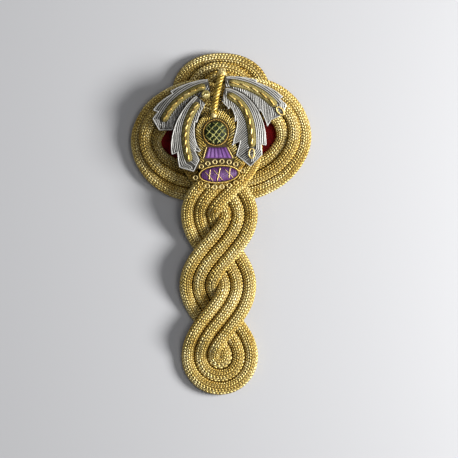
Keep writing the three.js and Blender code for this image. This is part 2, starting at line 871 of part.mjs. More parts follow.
// Low dome: a quarter-round profile turned on its axis, then stretched to its oval
function dome(x, y, halfWidth, halfLength, rise, turn) {
  const profile = [new THREE.Vector2(0, 0)];
  for (let i = 0; i < 5; i += 1) {
    const a = (Math.PI / 2) * (i / 5);
    profile.push(new THREE.Vector2(Math.cos(a), Math.sin(a)));
  }
  profile.push(new THREE.Vector2(0, 1));
  const geometry = new THREE.LatheGeometry(profile, 20);
  geometry.rotateX(Math.PI / 2).scale(halfWidth, halfLength, rise);
  geometry.rotateZ((turn * Math.PI) / 180);
  return geometry.translate(x, y, badgeTop);
}

// Stand the knot with the middle of its underside on the origin
const box = new THREE.Box3().setFromObject(group, true);
const middle = box.getCenter(new THREE.Vector3());
group.position.set(-middle.x, -middle.y, -box.min.z);

export default group;
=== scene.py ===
import math

import bmesh
import bpy
import numpy as np
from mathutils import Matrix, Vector


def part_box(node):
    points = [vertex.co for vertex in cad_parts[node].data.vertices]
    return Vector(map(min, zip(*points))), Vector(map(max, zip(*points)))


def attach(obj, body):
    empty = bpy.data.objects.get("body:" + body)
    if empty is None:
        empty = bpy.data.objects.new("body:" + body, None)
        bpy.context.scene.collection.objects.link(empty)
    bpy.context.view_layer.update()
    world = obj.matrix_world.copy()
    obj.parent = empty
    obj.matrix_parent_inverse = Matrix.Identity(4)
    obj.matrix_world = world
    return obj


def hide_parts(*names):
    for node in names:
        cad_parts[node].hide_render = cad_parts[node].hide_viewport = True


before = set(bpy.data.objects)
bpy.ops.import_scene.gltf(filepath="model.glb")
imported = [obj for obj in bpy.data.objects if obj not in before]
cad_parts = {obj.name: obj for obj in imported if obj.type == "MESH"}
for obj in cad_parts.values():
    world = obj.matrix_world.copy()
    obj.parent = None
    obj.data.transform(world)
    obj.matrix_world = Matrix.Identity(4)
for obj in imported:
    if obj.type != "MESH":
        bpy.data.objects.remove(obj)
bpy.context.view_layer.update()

# Shoulder knot of braided gold cords with an embroidered thistle badge.
# Lengths are in millimetres until a mesh is made; the origin of the knot is the middle of its ring.
MM = 0.001
SEED = 7
rng = np.random.default_rng(SEED)

# Named sizes, the same as the solids'
CORD_WIDTH = 5.3
CORD_HEIGHT = 4.4
CLEARANCE = 0.3
CLOTH = 1.2
TOP_LOOP_HALF_WIDTH = 13.4
TOP_LOOP_RISE = 12.1
TOP_LOOP_BANK = math.radians(48)
TOP_LOOP_ALONG = 20.0
LEG_HALF_WIDTH = 9.2
LEG_ALONG = 5.0
SHOULDER_HALF_WIDTH = 10.0
SHOULDER_ALONG = -4.0
FIRST_BULGE_ALONG = -32.2
TWIST_STEP = 31.2
SWAP_SHARE = 0.525
STRAND_SPREAD = 1.06
RING_HALF_WIDTH = 39.4
BADGE_LENGTH = 53.4
BADGE_LIFT = 0.55
LEAF_THICKNESS = 1.5
LEAF_TILT = math.radians(7)
MIDRIB_WIDTH = 3.6
MIDRIB_START = 0.08
MIDRIB_THICKNESS = 0.9
GROUND_THICKNESS = 1.0
STEM_RADIUS = 1.35
KNOB_RADIUS = 1.75
CUP_WIDTH = 9.5
CUP_LENGTH = 9.8
CUP_RISE = 2.1
RIM_WIRE = 0.4
FLOWER_THICKNESS = 1.0
PAD_WIDTH = 16.0
PAD_LENGTH = 6.2
PAD_RISE = 1.3
PAD_TURN = math.radians(4)
FLOWER_WIRE = 0.35
LOOP_RADIUS = 0.88
LOOP_WIRE = 0.26
CURL_RADIUS = 1.35
CURL_WIRE = 0.6
END_LOOP_LENGTH = 4.2
END_LOOP_WIDTH = 2.3
END_WIRE = 0.35

CORD_PITCH = CORD_WIDTH + CLEARANCE
LAYER = CORD_HEIGHT + CLEARANCE
FIRST_LAYER = CLOTH + CLEARANCE + CORD_HEIGHT / 2
TABLE_LAYER = CORD_HEIGHT / 2
BULGE_HALF_WIDTH = CORD_PITCH * 1.5
BADGE_BASE = CLOTH + 3 * LAYER + BADGE_LIFT
BADGE_TOP = BADGE_BASE + GROUND_THICKNESS + CLEARANCE
LEAF_TOP = BADGE_BASE + LEAF_THICKNESS + CLEARANCE
UNIT = BADGE_LENGTH / 100

# The right-hand strand's swings: along, across, drift of both strands in cord widths
SWINGS = [
    (TOP_LOOP_ALONG, TOP_LOOP_HALF_WIDTH, 0),
    (LEG_ALONG, LEG_HALF_WIDTH, -0.09),
    (SHOULDER_ALONG, SHOULDER_HALF_WIDTH, -0.07),
    (FIRST_BULGE_ALONG, -BULGE_HALF_WIDTH, -0.15),
    (FIRST_BULGE_ALONG - TWIST_STEP, BULGE_HALF_WIDTH, -0.28),
    (FIRST_BULGE_ALONG - 2 * TWIST_STEP, -BULGE_HALF_WIDTH, -0.12),
]
BOTTOM_ALONG = SWINGS[5][0]
BOTTOM_DRIFT = SWINGS[5][2] * CORD_WIDTH

# Mean height of the two strands: place among the swings, layers
HEIGHTS = [
    (0, 0), (0.667, 0), (2.106, 1.08), (2.319, 1.52), (2.816, 1.5), (3.026, 1.05),
    (3.282, 0.62), (3.699, 0.5), (4.244, 0.19), (4.724, 0.19), (5, -0.3),
]
NECK_CLIMB = (2.106, 2.333)

# Ring from the right side anticlockwise: reach as a share, outer, inner and crown in layers
RING = [
    (0.998, 0.0, 0.12, 0.45), (0.978, 0.25, 0.85, 0.4), (0.887, 0.98, 1.04, 0.3),
    (0.752, 1.6, 1.08, 0.05), (0.622, 2.04, 1.06, 0.0), (0.724, 1.6, 1.08, 0.05),
    (0.827, 1.0, 1.04, 0.35), (0.941, 0.3, 0.85, 0.5), (1.003, 0.0, 0.12, 0.72),
    (0.951, 0.0, 0.0, 0.6), (0.844, 0.0, 0.0, 0.25), (0.73, 0.0, 0.0, 0.0),
    (0.7, 0.0, 0.0, 0.0), (0.716, 0.0, 0.0, 0.0), (0.797, 0.0, 0.0, 0.15),
    (0.907, 0.0, 0.0, 0.35),
]

# Leaves in hundredths of the badge length
LEAVES = {
    "upper_left": dict(root=(-8.6, 45.1), bend=(-36.5, 39.3), tip=(-47.4, 15.5), turn=1,
                       outer=8.3, inner=10.7, point=8, outer_barbs=[0.5, 0.84],
                       inner_barbs=[0.86], tilt=1),
    "lower_left": dict(root=(-15.4, 34.1), bend=(-36.5, 12.2), tip=(-25.5, -17.2), turn=1,
                       outer=9.1, inner=6.7, point=9, outer_barbs=[0.78],
                       inner_barbs=[0.3, 0.8], tilt=0),
    "upper_right": dict(root=(2.1, 47.2), bend=(29.2, 46.8), tip=(46.8, 25.5), turn=-1,
                        outer=6.3, inner=13.2, point=6, outer_barbs=[0.42, 0.84],
                        inner_barbs=[0.66, 0.95], tilt=1),
    "lower_right": dict(root=(0.6, 38.2), bend=(28.2, 32.2), tip=(24.7, -10.5), turn=-1,
                        outer=8.3, inner=13.3, point=11, outer_barbs=[0.86],
                        inner_barbs=[0.16, 0.42, 0.8], tilt=0),
}
BLADE_SLANT = 0.45
# Edge of the ground in hundredths of the badge length: along, left, right
GROUND_ROWS = [
    (24.5, -8.5, 0.5), (18.2, -16, 7.5), (10.5, -20.5, 11.5), (3.8, -20.5, 11),
    (-2.6, -19.3, 10.5), (-11.8, -21, 16.5), (-18.5, -22.5, 17), (-23.5, -20, 13.5),
]
# Corners of the flower: shares of the cup's width, and the row each one ends at
FLOWER_CORNERS = [(-0.354, "cup"), (-0.5, "loops"), (0.72, "loops"), (0.466, "cup")]
CUP = np.array([-4.4, 6.2]) * UNIT
PAD = np.array([-1.7, -27.6]) * UNIT
STEM_TOP = np.array([0.8, 55.5]) * UNIT
STEM_BEND = np.array([-4.6, 37]) * UNIT
STEM_FOOT_ACROSS = -6 * UNIT
CURL = (np.array(LEAVES["lower_left"]["root"]) + [2.8, 3.3]) * UNIT
# Rows of small loops round the pad: how many, from and to in degrees
UPPER_LOOPS = (6, 136, 44)
LOWER_LOOPS = (9, 188, 368)

# Where the frame has the middle of the ring, read off the cup
cup_box = np.array(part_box("thistle_cup"))
ORIGIN = np.array([*(cup_box.mean(0)[:2] / MM - CUP), 0.0])


def smooth(t):
    t = np.clip(t, 0, 1)
    return t * t * (3 - 2 * t)


def unit(v):
    return v / np.maximum(np.linalg.norm(v, axis=-1, keepdims=True), 1e-12)


def travelled(points):
    """How far along a path each of its points lies."""
    return np.concatenate([[0], np.cumsum(np.linalg.norm(np.diff(points, axis=0), axis=1))])


def turned(centre, x, y, turn):
    return (centre[0] + x * math.cos(turn) - y * math.sin(turn),
            centre[1] + x * math.sin(turn) + y * math.cos(turn))


# Paths of the cords

def place_of(along):
    """Place among the swings: 0 at the first row, 1 at the second and so on."""
    i = 0
    while i < len(SWINGS) - 2 and along < SWINGS[i + 1][0]:
        i += 1
    share = (SWINGS[i][0] - along) / (SWINGS[i][0] - SWINGS[i + 1][0])
    return i + min(1, max(0, share))


def swing_value(along, key, ease):
    place = place_of(along)
    i = min(int(place), len(SWINGS) - 2)
    a, b = SWINGS[i][key], SWINGS[i + 1][key]
    return a + (b - a) * ease(place - i)


def swing(along):
    return swing_value(along, 1, lambda t: (1 - math.cos(math.pi * t)) / 2)


def drift(along):
    return CORD_WIDTH * swing_value(along, 2, smooth)


def strand_lead(along):
    """1 where the right-hand strand is on top, -1 where it is below."""
    half = SWAP_SHARE * TWIST_STEP / 2
    if along > FIRST_BULGE_ALONG + half:
        return float(smooth((place_of(along) - NECK_CLIMB[0]) / (NECK_CLIMB[1] - NECK_CLIMB[0])))
    for i in range(3, len(SWINGS)):
        away = (along - SWINGS[i][0]) / half
        if abs(away) <= 1:
            return (1 if i % 2 else -1) * math.sin(math.pi / 2 * away)
    return -1.0 if along > SWINGS[4][0] else 1.0


def strand_height(along, side):
    place = place_of(along)
    i = 0
    while i < len(HEIGHTS) - 2 and place > HEIGHTS[i + 1][0]:
        i += 1
    (a, low), (b, high) = HEIGHTS[i], HEIGHTS[i + 1]
    mean = FIRST_LAYER + LAYER * (low + (high - low) * smooth((place - a) / (b - a)))
    return max(TABLE_LAYER, mean + side * LAYER * STRAND_SPREAD * strand_lead(along) / 2)


def long_loop_path():
    """Down the right-hand strand, round the bottom loop, up the other and round the top loop."""
    path = []
    steps = 240
    for i in range(steps):
        along = TOP_LOOP_ALONG + (BOTTOM_ALONG - TOP_LOOP_ALONG) * i / steps
        path.append((swing(along) + drift(along), along, strand_height(along, 1), 0))
    start = strand_height(BOTTOM_ALONG, 1)
    for i in range(60):
        turn = math.pi * i / 60
        z = start + (TABLE_LAYER - start) * smooth(i / 20)
        path.append((BOTTOM_DRIFT - BULGE_HALF_WIDTH * math.cos(turn),
                     BOTTOM_ALONG - BULGE_HALF_WIDTH * math.sin(turn), z, 0))
    for i in range(steps):
        along = BOTTOM_ALONG + (TOP_LOOP_ALONG - BOTTOM_ALONG) * i / steps
        path.append((-swing(along) + drift(along), along, strand_height(along, -1), 0))
    for i in range(80):
        turn = math.pi * i / 80
        bank = TOP_LOOP_BANK * math.sin(turn) ** 2
        path.append((-TOP_LOOP_HALF_WIDTH * math.cos(turn),
                     TOP_LOOP_ALONG + TOP_LOOP_RISE * math.sin(turn),
                     FIRST_LAYER + LAYER * math.sin(bank), bank))
    return np.array(path, float)


def right_of(path):
    way = np.roll(path[:, :2], -1, 0) - np.roll(path[:, :2], 1, 0)
    return unit(np.stack([way[:, 1], -way[:, 0]], 1))


def long_lane(path, lane):
    bank = path[:, 3:4]
    points = path[:, :3].copy()
    points[:, :2] += right_of(path) * lane * CORD_PITCH * np.cos(bank)
    points[:, 2:] += lane * LAYER * np.sin(bank)
    return points


def ring_value(turn, key):
    values = np.array([row[key] for row in RING])
    place = turn / math.tau * len(RING)
    i = np.floor(place).astype(int)
    t = place - i
    a, b, c, d = (values[(i + k) % len(RING)] for k in (-1, 0, 1, 2))
    return b + t * (c - a + t * (2 * a - 5 * b + 4 * c - d + t * (3 * (b - c) + d - a))) / 2


def ring_lane(lane):
    turn = math.tau * np.arange(360) / 360
    reach = RING_HALF_WIDTH * ring_value(turn, 0)
    edge = np.stack([reach * np.cos(turn), reach * np.sin(turn)], 1)
    outer, inner = ring_value(turn, 1), ring_value(turn, 2)
    middle = (outer + inner) / 2 + np.maximum(0, ring_value(turn, 3))
    levels = [outer, middle, inner]
    inset = np.full(360, CORD_WIDTH / 2)
    for k in range(1, lane + 1):
        rise = np.clip(np.abs(levels[k] - levels[k - 1]), 0, 0.8)
        inset += CORD_PITCH * np.sqrt(1 - rise * rise)
    flat = edge - right_of(edge) * inset[:, None]
    return np.column_stack([flat, FIRST_LAYER + LAYER * levels[lane]])


# A path made even along its length, with a level side and a rise at each point

class Line:
    def __init__(self, points, closed=False, step=0.5, relax=0):
        points = np.asarray(points, float)
        for _ in range(relax):
            mean = (np.roll(points, 1, 0) + np.roll(points, -1, 0)) / 2
            points = (points + mean) / 2
        if closed:
            points = np.vstack([points, points[:1]])
        far = travelled(points)
        self.length = far[-1]
        self.closed = closed
        count = max(2, int(round(self.length / step)))
        self.count = count
        places = np.linspace(0, self.length, count + 1)
        self.at = np.stack([np.interp(places, far, points[:, k]) for k in range(3)], 1)
        if closed:
            around = np.vstack([self.at[-2:-1], self.at, self.at[1:2]])
            way = unit(around[2:] - around[:-2])
        else:
            way = unit(np.gradient(self.at, axis=0))
        self.way = way
        self.side = unit(np.cross(way, [0, 0, 1.0]))
        self.rise = np.cross(self.side, way)

    def frames(self, s):
        place = np.asarray(s, float) / self.length * self.count
        if self.closed:
            place = np.mod(place, self.count)
        place = np.clip(place, 0, self.count - 1e-9)
        i = place.astype(int)
        t = (place - i)[..., None]
        return [a[i] * (1 - t) + a[i + 1] * t for a in (self.at, self.side, self.rise)]

    def surface(self, s, turn, half_width, half_height, lift):
        at, side, rise = self.frames(s)
        across, up = np.cos(turn)[..., None], np.sin(turn)[..., None]
        out = unit(side * across / half_width + rise * up / half_height)
        return at + side * across * half_width + rise * up * half_height + out * lift[..., None]


# Objects, and mesh arrays gathered into one piece

def placed(name, data):
    thing = bpy.data.objects.new(name, data)
    bpy.context.scene.collection.objects.link(thing)
    return thing


def dressed(name, mesh, materials, replaces):
    """A piece on the knot's one body, in place of the solids that it covers."""
    for material in materials:
        mesh.materials.append(material)
    thing = placed(name, mesh)
    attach(thing, "root")
    if replaces:
        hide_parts(*replaces)
    return thing


class Gather:
    def __init__(self):
        self.points, self.faces, self.uv, self.tone, self.slot = [], [], [], [], []
        self.count = 0

    def add(self, points, faces, uv=None, tone=0.5, slot=0):
        points = np.asarray(points, float).reshape(-1, 3)
        n = len(points)
        self.points.append(points)
        self.faces += [[i + self.count for i in face] for face in faces]
        self.slot += [slot] * len(faces)
        self.uv.append(np.zeros((n, 2)) if uv is None else np.asarray(uv, float).reshape(-1, 2))
        self.tone.append(np.broadcast_to(np.asarray(tone, float), (n,)).copy())
        self.count += n

    def piece(self, name, materials, replaces):
        mesh = bpy.data.meshes.new(name)
        points = (np.vstack(self.points) + ORIGIN) * MM
        mesh.from_pydata(points.tolist(), [], self.faces)
        index = np.zeros(len(mesh.loops), np.int32)
        mesh.loops.foreach_get("vertex_index", index)
        layer = mesh.uv_layers.new(name="thread")
        layer.data.foreach_set("uv", np.vstack(self.uv)[index].astype(np.float32).ravel())
        tone = mesh.attributes.new("tone", "FLOAT", "POINT")
        tone.data.foreach_set("value", np.concatenate(self.tone).astype(np.float32))
        mesh.polygons.foreach_set("material_index", np.array(self.slot, np.int32))
        mesh.polygons.foreach_set("use_smooth", np.ones(len(mesh.polygons), bool))
        mesh.update()
        return dressed(name, mesh, materials, replaces)


def strip_faces(rows, sides, closed, around=True):
    """Quads between rows of points; closed joins the last row to the first."""
    faces = []
    last = rows if closed else rows - 1
    wide = sides if around else sides - 1
    for i in range(last):
        a, b = i * sides, ((i + 1) % rows) * sides
        for j in range(wide):
            k = (j + 1) % sides
            faces.append((a + j, a + k, b + k, b + j))
    return faces


def tube(gather, line, radius, sides=6, tone=0.5, slot=0):
    """Tube along a line; radius is one number or one for each point of the line."""
    n = line.count if line.closed else line.count + 1
    radius = np.broadcast_to(np.asarray(radius, float), (line.count + 1,))[:n]
    turn = math.tau * np.arange(sides) / sides
    out = (line.side[:n, None] * np.cos(turn)[None, :, None]
           + line.rise[:n, None] * np.sin(turn)[None, :, None])
    points = line.at[:n, None] + out * radius[:, None, None]
    far = np.linspace(0, line.length, line.count + 1)[:n]
    uv = np.stack(np.broadcast_arrays(far[:, None], (turn * radius.mean())[None]), -1)
    faces = strip_faces(n, sides, line.closed)
    points, uv = points.reshape(-1, 3), uv.reshape(-1, 2)
    if not line.closed:
        points = np.vstack([points, line.at[0], line.at[n - 1]])
        uv = np.vstack([uv, [0, 0], [line.length, 0]])
        a, b = n * sides, n * sides + 1
        faces += [(a, (j + 1) % sides, j) for j in range(sides)]
        last = (n - 1) * sides
        faces += [(b, last + j, last + (j + 1) % sides) for j in range(sides)]
    gather.add(points, [f[::-1] for f in faces], uv, tone, slot)


def purl(gather, points, radius, tone, ridge=0.36, sides=7, closed=False, slot=0):
    """Close coiled wire: a tube with a ridge for each turn, rounded off at its ends."""
    line = Line(points, closed, ridge / 2)
    if line.closed and line.count % 2:
        line = Line(points, closed, line.length / (line.count + 1))
    radii = np.where(np.arange(line.count + 1) % 2 == 0, radius * 0.86, radius)
    if not closed:
        radii[0] = radii[-1] = radius * 0.5
    tube(gather, line, radii, sides, tone, slot)


def rope(gather, points, radius, lay, plies=2, sides=6, closed=False, tone=0.5, step=0.3):
    """Twisted thread: plies wound round one another."""
    line = Line(points, closed, step)
    turns = line.length / lay
    if closed:
        turns = max(1, round(turns))
    ply = radius * (0.56 if plies == 2 else 0.34)
    for k in range(plies):
        a = math.tau * (turns * np.linspace(0, 1, line.count + 1) + k / plies)
        out = line.side * np.cos(a)[:, None] + line.rise * np.sin(a)[:, None]
        way = line.at + out * (radius - ply)
        if closed:
            way = way[:-1]
        shade = tone + 0.12 * (k - (plies - 1) / 2)
        tube(gather, Line(way, closed, step), ply, sides, shade)


def arc(centre, half_width, half_length, z, turn=0.0, start=0.0, end=math.tau, count=40):
    a = np.linspace(start, end, count, endpoint=end - start < math.tau - 1e-6)
    x, y = half_width * np.cos(a), half_length * np.sin(a)
    return np.column_stack([*turned(centre, x, y, turn), np.full(len(a), z)])


# Materials: colours are stops of a ramp, dark to light

# A wave texture of this scale repeats once for each unit of its coordinate
WAVE_SCALE = 0.314


def principled(name):
    material = bpy.data.materials.new(name)
    material.use_nodes = True
    tree = material.node_tree
    return material, tree, tree.nodes["Principled BSDF"]


def fill_inputs(tree, node, inputs):
    """Set each input to a number, or link it to an output."""
    for key, value in inputs.items():
        if isinstance(value, (int, float)):
            node.inputs[key].default_value = value
        else:
            tree.links.new(value, node.inputs[key])


def shader_node(tree, kind, inputs, output=0, **settings):
    """The output of a new node."""
    node = tree.nodes.new("ShaderNode" + kind)
    for key, value in settings.items():
        setattr(node, key, value)
    fill_inputs(tree, node, inputs)
    return node.outputs[output]


def ramp(tree, value, stops):
    node = tree.nodes.new("ShaderNodeValToRGB")
    fill_inputs(tree, node, {0: value})
    elements = node.color_ramp.elements
    while len(elements) < len(stops):
        elements.new(0.5)
    for element, (place, colour) in zip(elements, stops):
        element.position = place
        element.color = (*colour, 1)
    return node.outputs[0]


def varied(tree, base, value, amount):
    """base, more or less by amount as value leaves 0.5."""
    off = shader_node(tree, "Math", {0: value, 1: 0.5}, operation="SUBTRACT")
    change = shader_node(tree, "Math", {0: off, 1: amount}, operation="MULTIPLY")
    return shader_node(tree, "Math", {0: base, 1: change}, operation="ADD")


def noise(tree, scale, detail=3.0, rough=0.6):
    place = shader_node(tree, "TexCoord", {}, "Object")
    inputs = {"Vector": place, "Scale": scale, "Detail": detail, "Roughness": rough}
    return shader_node(tree, "TexNoise", inputs, "Fac")


def wires(tree, direction, pitch, distortion, detail):
    """Fine wires or stripes side by side, pitch in millimetres."""
    uv = shader_node(tree, "UVMap", {}, uv_map="thread")
    inputs = {"Vector": uv, "Scale": WAVE_SCALE / pitch, "Distortion": distortion,
              "Detail": detail}
    return shader_node(tree, "TexWave", inputs, "Fac", bands_direction=direction)


def tone_of(tree):
    return shader_node(tree, "Attribute", {}, "Fac", attribute_name="tone")


def bumped(tree, height, strength, depth):
    inputs = {"Strength": strength, "Distance": depth * MM, "Height": height}
    return shader_node(tree, "Bump", inputs)


def metal_thread(name, stops, rough, metallic, wire_pitch, wire_depth, patch=0.5):
    """Metal-covered thread: fine wires along it, tone by thread, patches darkened by wear."""
    material, tree, shader = principled(name)
    patches = noise(tree, 90.0)
    mixed = varied(tree, varied(tree, tone_of(tree), patches, patch), noise(tree, 1400.0, 2.0), 0.25)
    height = wires(tree, "Y", wire_pitch, 0.6, 1.0)
    fill_inputs(tree, shader, {
        "Base Color": ramp(tree, mixed, stops), "Metallic": metallic,
        "Roughness": varied(tree, rough, patches, 0.16), "Normal": bumped(tree, height, 0.5, wire_depth),
    })
    return material


def cloth_material(name, stops, rough, scale, depth, sheen=0.0, stripes=0.0):
    """Felted or satin cloth: soft colour drift, fine fibre or stripe bump, sheen."""
    material, tree, shader = principled(name)
    height = wires(tree, "X", stripes, 1.2, 2.0) if stripes else noise(tree, scale, 4.0, 0.7)
    mixed = varied(tree, noise(tree, scale / 8), height, 0.35)
    if stripes:
        mixed = varied(tree, mixed, tone_of(tree), 1.0)
    fill_inputs(tree, shader, {
        "Base Color": ramp(tree, mixed, stops), "Roughness": rough, "Specular IOR Level": 0.25,
        "Sheen Weight": sheen, "Sheen Roughness": 0.4, "Normal": bumped(tree, height, 0.6, depth),
    })
    return material


# The braid's two lowest stops colour the grains darkened as painted shade.
BRAID = metal_thread("gold_braid", [(0.0, (0.13, 0.065, 0.008)), (0.28, (0.42, 0.255, 0.038)),
                                    (0.55, (0.63, 0.485, 0.155)), (0.9, (0.88, 0.775, 0.43))],
                     0.5, 0.8, 0.24, 0.04, 0.3)
# The core shows between the grains and the plies: its dark colour is painted shade.
SHADE_CORE = metal_thread("cord_core_shade", [(0.2, (0.10, 0.058, 0.009)), (0.8, (0.25, 0.16, 0.03))],
                    0.6, 0.5, 0.3, 0.05)
THREAD = metal_thread("gold_thread", [(0.1, (0.40, 0.26, 0.035)), (0.5, (0.72, 0.53, 0.13)),
                                      (0.9, (0.92, 0.78, 0.35))], 0.38, 0.85, 0.15, 0.04)
WIRE = metal_thread("gold_wire", [(0.0, (0.20, 0.10, 0.015)), (0.45, (0.74, 0.52, 0.14)),
                                  (0.9, (0.95, 0.82, 0.42))], 0.42, 0.75, 0.15, 0.02)
OLIVE = metal_thread("midrib_thread", [(0.1, (0.06, 0.043, 0.009)), (0.5, (0.215, 0.172, 0.045)),
                                       (0.9, (0.41, 0.335, 0.115))], 0.5, 0.5, 0.2, 0.05)
SILVER = metal_thread("silver_purl", [(0.1, (0.15, 0.145, 0.13)), (0.5, (0.41, 0.40, 0.37)),
                                      (0.9, (0.66, 0.65, 0.61))], 0.46, 0.45, 0.2, 0.02, 0.4)
SHADOW = cloth_material("leaf_ground", [(0.3, (0.035, 0.032, 0.027)), (0.7, (0.085, 0.08, 0.068))],
                        0.9, 900.0, 0.06)
GROUND = metal_thread("ground_gold", [(0.2, (0.07, 0.042, 0.008)), (0.8, (0.20, 0.13, 0.027))],
                      0.55, 0.4, 0.3, 0.05)
LATTICE = metal_thread("lattice_thread", [(0.1, (0.14, 0.13, 0.03)), (0.5, (0.38, 0.37, 0.10)),
                                          (0.9, (0.68, 0.66, 0.28))], 0.4, 0.5, 0.15, 0.03, 0.9)
RED = cloth_material("red_wool", [(0.25, (0.20, 0.008, 0.010)), (0.6, (0.38, 0.015, 0.018)),
                                  (0.85, (0.50, 0.028, 0.028))], 0.95, 1500.0, 0.12, 0.1)
GREEN = cloth_material("green_silk", [(0.3, (0.004, 0.007, 0.002)), (0.7, (0.018, 0.03, 0.006))],
                       0.6, 1200.0, 0.05)
PURPLE = cloth_material("purple_silk", [(0.2, (0.035, 0.008, 0.06)), (0.5, (0.10, 0.03, 0.155)),
                                        (0.85, (0.28, 0.12, 0.38))], 0.42, 900.0, 0.06,
                        stripes=0.22)
PAD_SILK = cloth_material("pad_silk", [(0.2, (0.022, 0.006, 0.028)), (0.55, (0.088, 0.027, 0.12)),
                                       (0.9, (0.29, 0.115, 0.37))], 0.38, 900.0, 0.06,
                          stripes=0.22)

# Braided cords: grains in columns that lean to either side by turns, over a core whose dark colour is
# painted shade

BRAID_COLUMNS = 16
BRAID_ROW = 1.32
GRAIN_LENGTH = 1.66
GRAIN_WIDTH = 0.82
GRAIN_LEAN = math.radians(27)
GRAIN_DEPTH = 0.46
CORD_PROUD = 0.21
CORE_SINK = 0.4
CORE_STEP = 1.4
CORE_SIDES = 16
BADGE_SHADE_REACH = 3.0


def grain_shape(sides=6):
    """One raised grain, its half length, half width and depth all 1."""
    points = [(0.0, 0.0, 0.0)]
    faces = []
    for reach, breadth, drop in ((0.54, 0.38, -0.05), (0.84, 0.75, -0.3), (1.0, 1.0, -1.0)):
        for j in range(sides):
            a = math.tau * j / sides
            points.append((reach * math.cos(a), breadth * math.sin(a), drop))
    for j in range(sides):
        k = (j + 1) % sides
        faces.append((0, 1 + j, 1 + k))
        for ring in (0, 1):
            a = 1 + ring * sides
            b = a + sides
            faces.append((a + j, b + j, b + k))
            faces.append((a + j, b + k, a + k))
    return np.array(points), np.array(faces)


def braided_cord(name, points, free):
    """free is the side on which no other cord lies: 1 right of its way, -1 left, 0 neither. The painted
    shade in the grooves is weaker on that side.
    """
    line = Line(points, closed=True, step=0.45, relax=6)
    half_width, half_height = CORD_WIDTH / 2 + CORD_PROUD, CORD_HEIGHT / 2 + 0.05
    gather = Gather()
    rows = int(line.length / CORE_STEP)
    s = np.repeat(line.length * np.arange(rows) / rows, CORE_SIDES)
    turn = np.tile(math.tau * np.arange(CORE_SIDES) / CORE_SIDES, rows)
    core = line.surface(s, turn, half_width, half_height, np.full(len(s), -CORE_SINK))
    gather.add(core, [f[::-1] for f in strip_faces(rows, CORE_SIDES, True)],
               np.stack([s, turn * 2], 1), 0.5, 1)

    shape, faces = grain_shape()
    rows = int(round(line.length / BRAID_ROW))
    row, column = np.meshgrid(np.arange(rows), np.arange(BRAID_COLUMNS), indexing="ij")
    row, column = row.ravel(), column.ravel()
    n = len(row)
    lean = np.where(column % 2 == 0, 1, -1) * GRAIN_LEAN + rng.normal(0, 0.05, n)
    length = GRAIN_LENGTH / 2 * rng.uniform(0.94, 1.06, n)
    width = GRAIN_WIDTH / 2 * rng.uniform(0.93, 1.05, n)
    centre_s = (row + 0.5 * (column % 4 > 1) + rng.normal(0, 0.03, n)) * line.length / rows
    centre_a = math.tau * (column + 0.5) / BRAID_COLUMNS - math.pi / 2 + rng.normal(0, 0.012, n)
    radius = (half_width + half_height) / 2
    u = shape[None, :, 0] * length[:, None]
    v = shape[None, :, 1] * width[:, None]
    along = u * np.cos(lean)[:, None] - v * np.sin(lean)[:, None]
    round_ = u * np.sin(lean)[:, None] + v * np.cos(lean)[:, None]
    lift = shape[None, :, 2] * GRAIN_DEPTH + rng.normal(0, 0.025, n)[:, None]
    points = line.surface(centre_s[:, None] + along, centre_a[:, None] + round_ / radius,
                          half_width, half_height, lift)
    faces = (faces[None] + (np.arange(n) * len(shape))[:, None, None]).reshape(-1, 3)[:, ::-1]
    drift = 0.09 * np.sin(centre_s / 17.0 + column) + 0.07 * np.sin(centre_s / 5.3)
    # Painted shade: grains low on each cord's sides, in the grooves between cords, are darkened, less so
    # on the free side where no cord lies beside it.
    groove_shade = smooth((0.7 - np.sin(centre_a)) / 0.45)
    groove_shade = groove_shade * np.where(np.cos(centre_a) * free > 0, 0.2, 1.0)
    # Painted shade: grains near the lower pad are darkened as the shade under and around the badge.
    x, y = (points[:, 0, :2] - PAD).T
    far = np.hypot(x * PAD_LENGTH / PAD_WIDTH, y) - PAD_LENGTH / 2
    badge_shade = 0.3 * np.exp(-(np.maximum(far, 0) / BADGE_SHADE_REACH) ** 2)
    tone = np.clip(0.6 + drift + rng.normal(0, 0.06, n) - 0.42 * groove_shade - badge_shade, 0, 1)
    gather.add(points, faces.tolist(), np.stack([u, v], -1), np.repeat(tone, len(shape)))
    gather.piece(name + "_braid", [BRAID, SHADE_CORE], [name])


long_path = long_loop_path()
for name, lane in (("outer", 1), ("middle", 0), ("inner", -1)):
    braided_cord("long_loop_cord_" + name, long_lane(long_path, lane), lane)
for lane, name in enumerate(("outer", "middle", "inner")):
    braided_cord("ring_cord_" + name, ring_lane(lane), 1 - lane)


# Backing cloth: the solid's outline with softened edges

LONG_EDGE = 2.5


def softened(node, name, material, width, lower=None):
    """A copy of a solid with its edges rounded by width, or with its top lowered."""
    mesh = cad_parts[node].data.copy()
    mesh.name = name
    mesh.materials.clear()
    if lower:
        fine = bmesh.new()
        fine.from_mesh(mesh)
        long_edges = [e for e in fine.edges if e.calc_length() > LONG_EDGE * MM]
        bmesh.ops.subdivide_edges(fine, edges=long_edges, cuts=3, use_grid_fill=True)
        bmesh.ops.triangulate(fine, faces=fine.faces[:])
        for vertex in fine.verts:
            vertex.co.z = lower(vertex.co)
        fine.to_mesh(mesh)
        fine.free()
    thing = dressed(name, mesh, [material], [node])
    if width:
        weld = thing.modifiers.new("weld", "WELD")
        weld.merge_threshold = 1e-6
        bevel = thing.modifiers.new("soft_edge", "BEVEL")
        bevel.width = width * MM
        bevel.segments = 3
        bevel.limit_method = "ANGLE"
        bevel.angle_limit = math.radians(40)
    return thing


felt = softened("backing_cloth", "backing_felt", RED, 0.35)


# Leaves

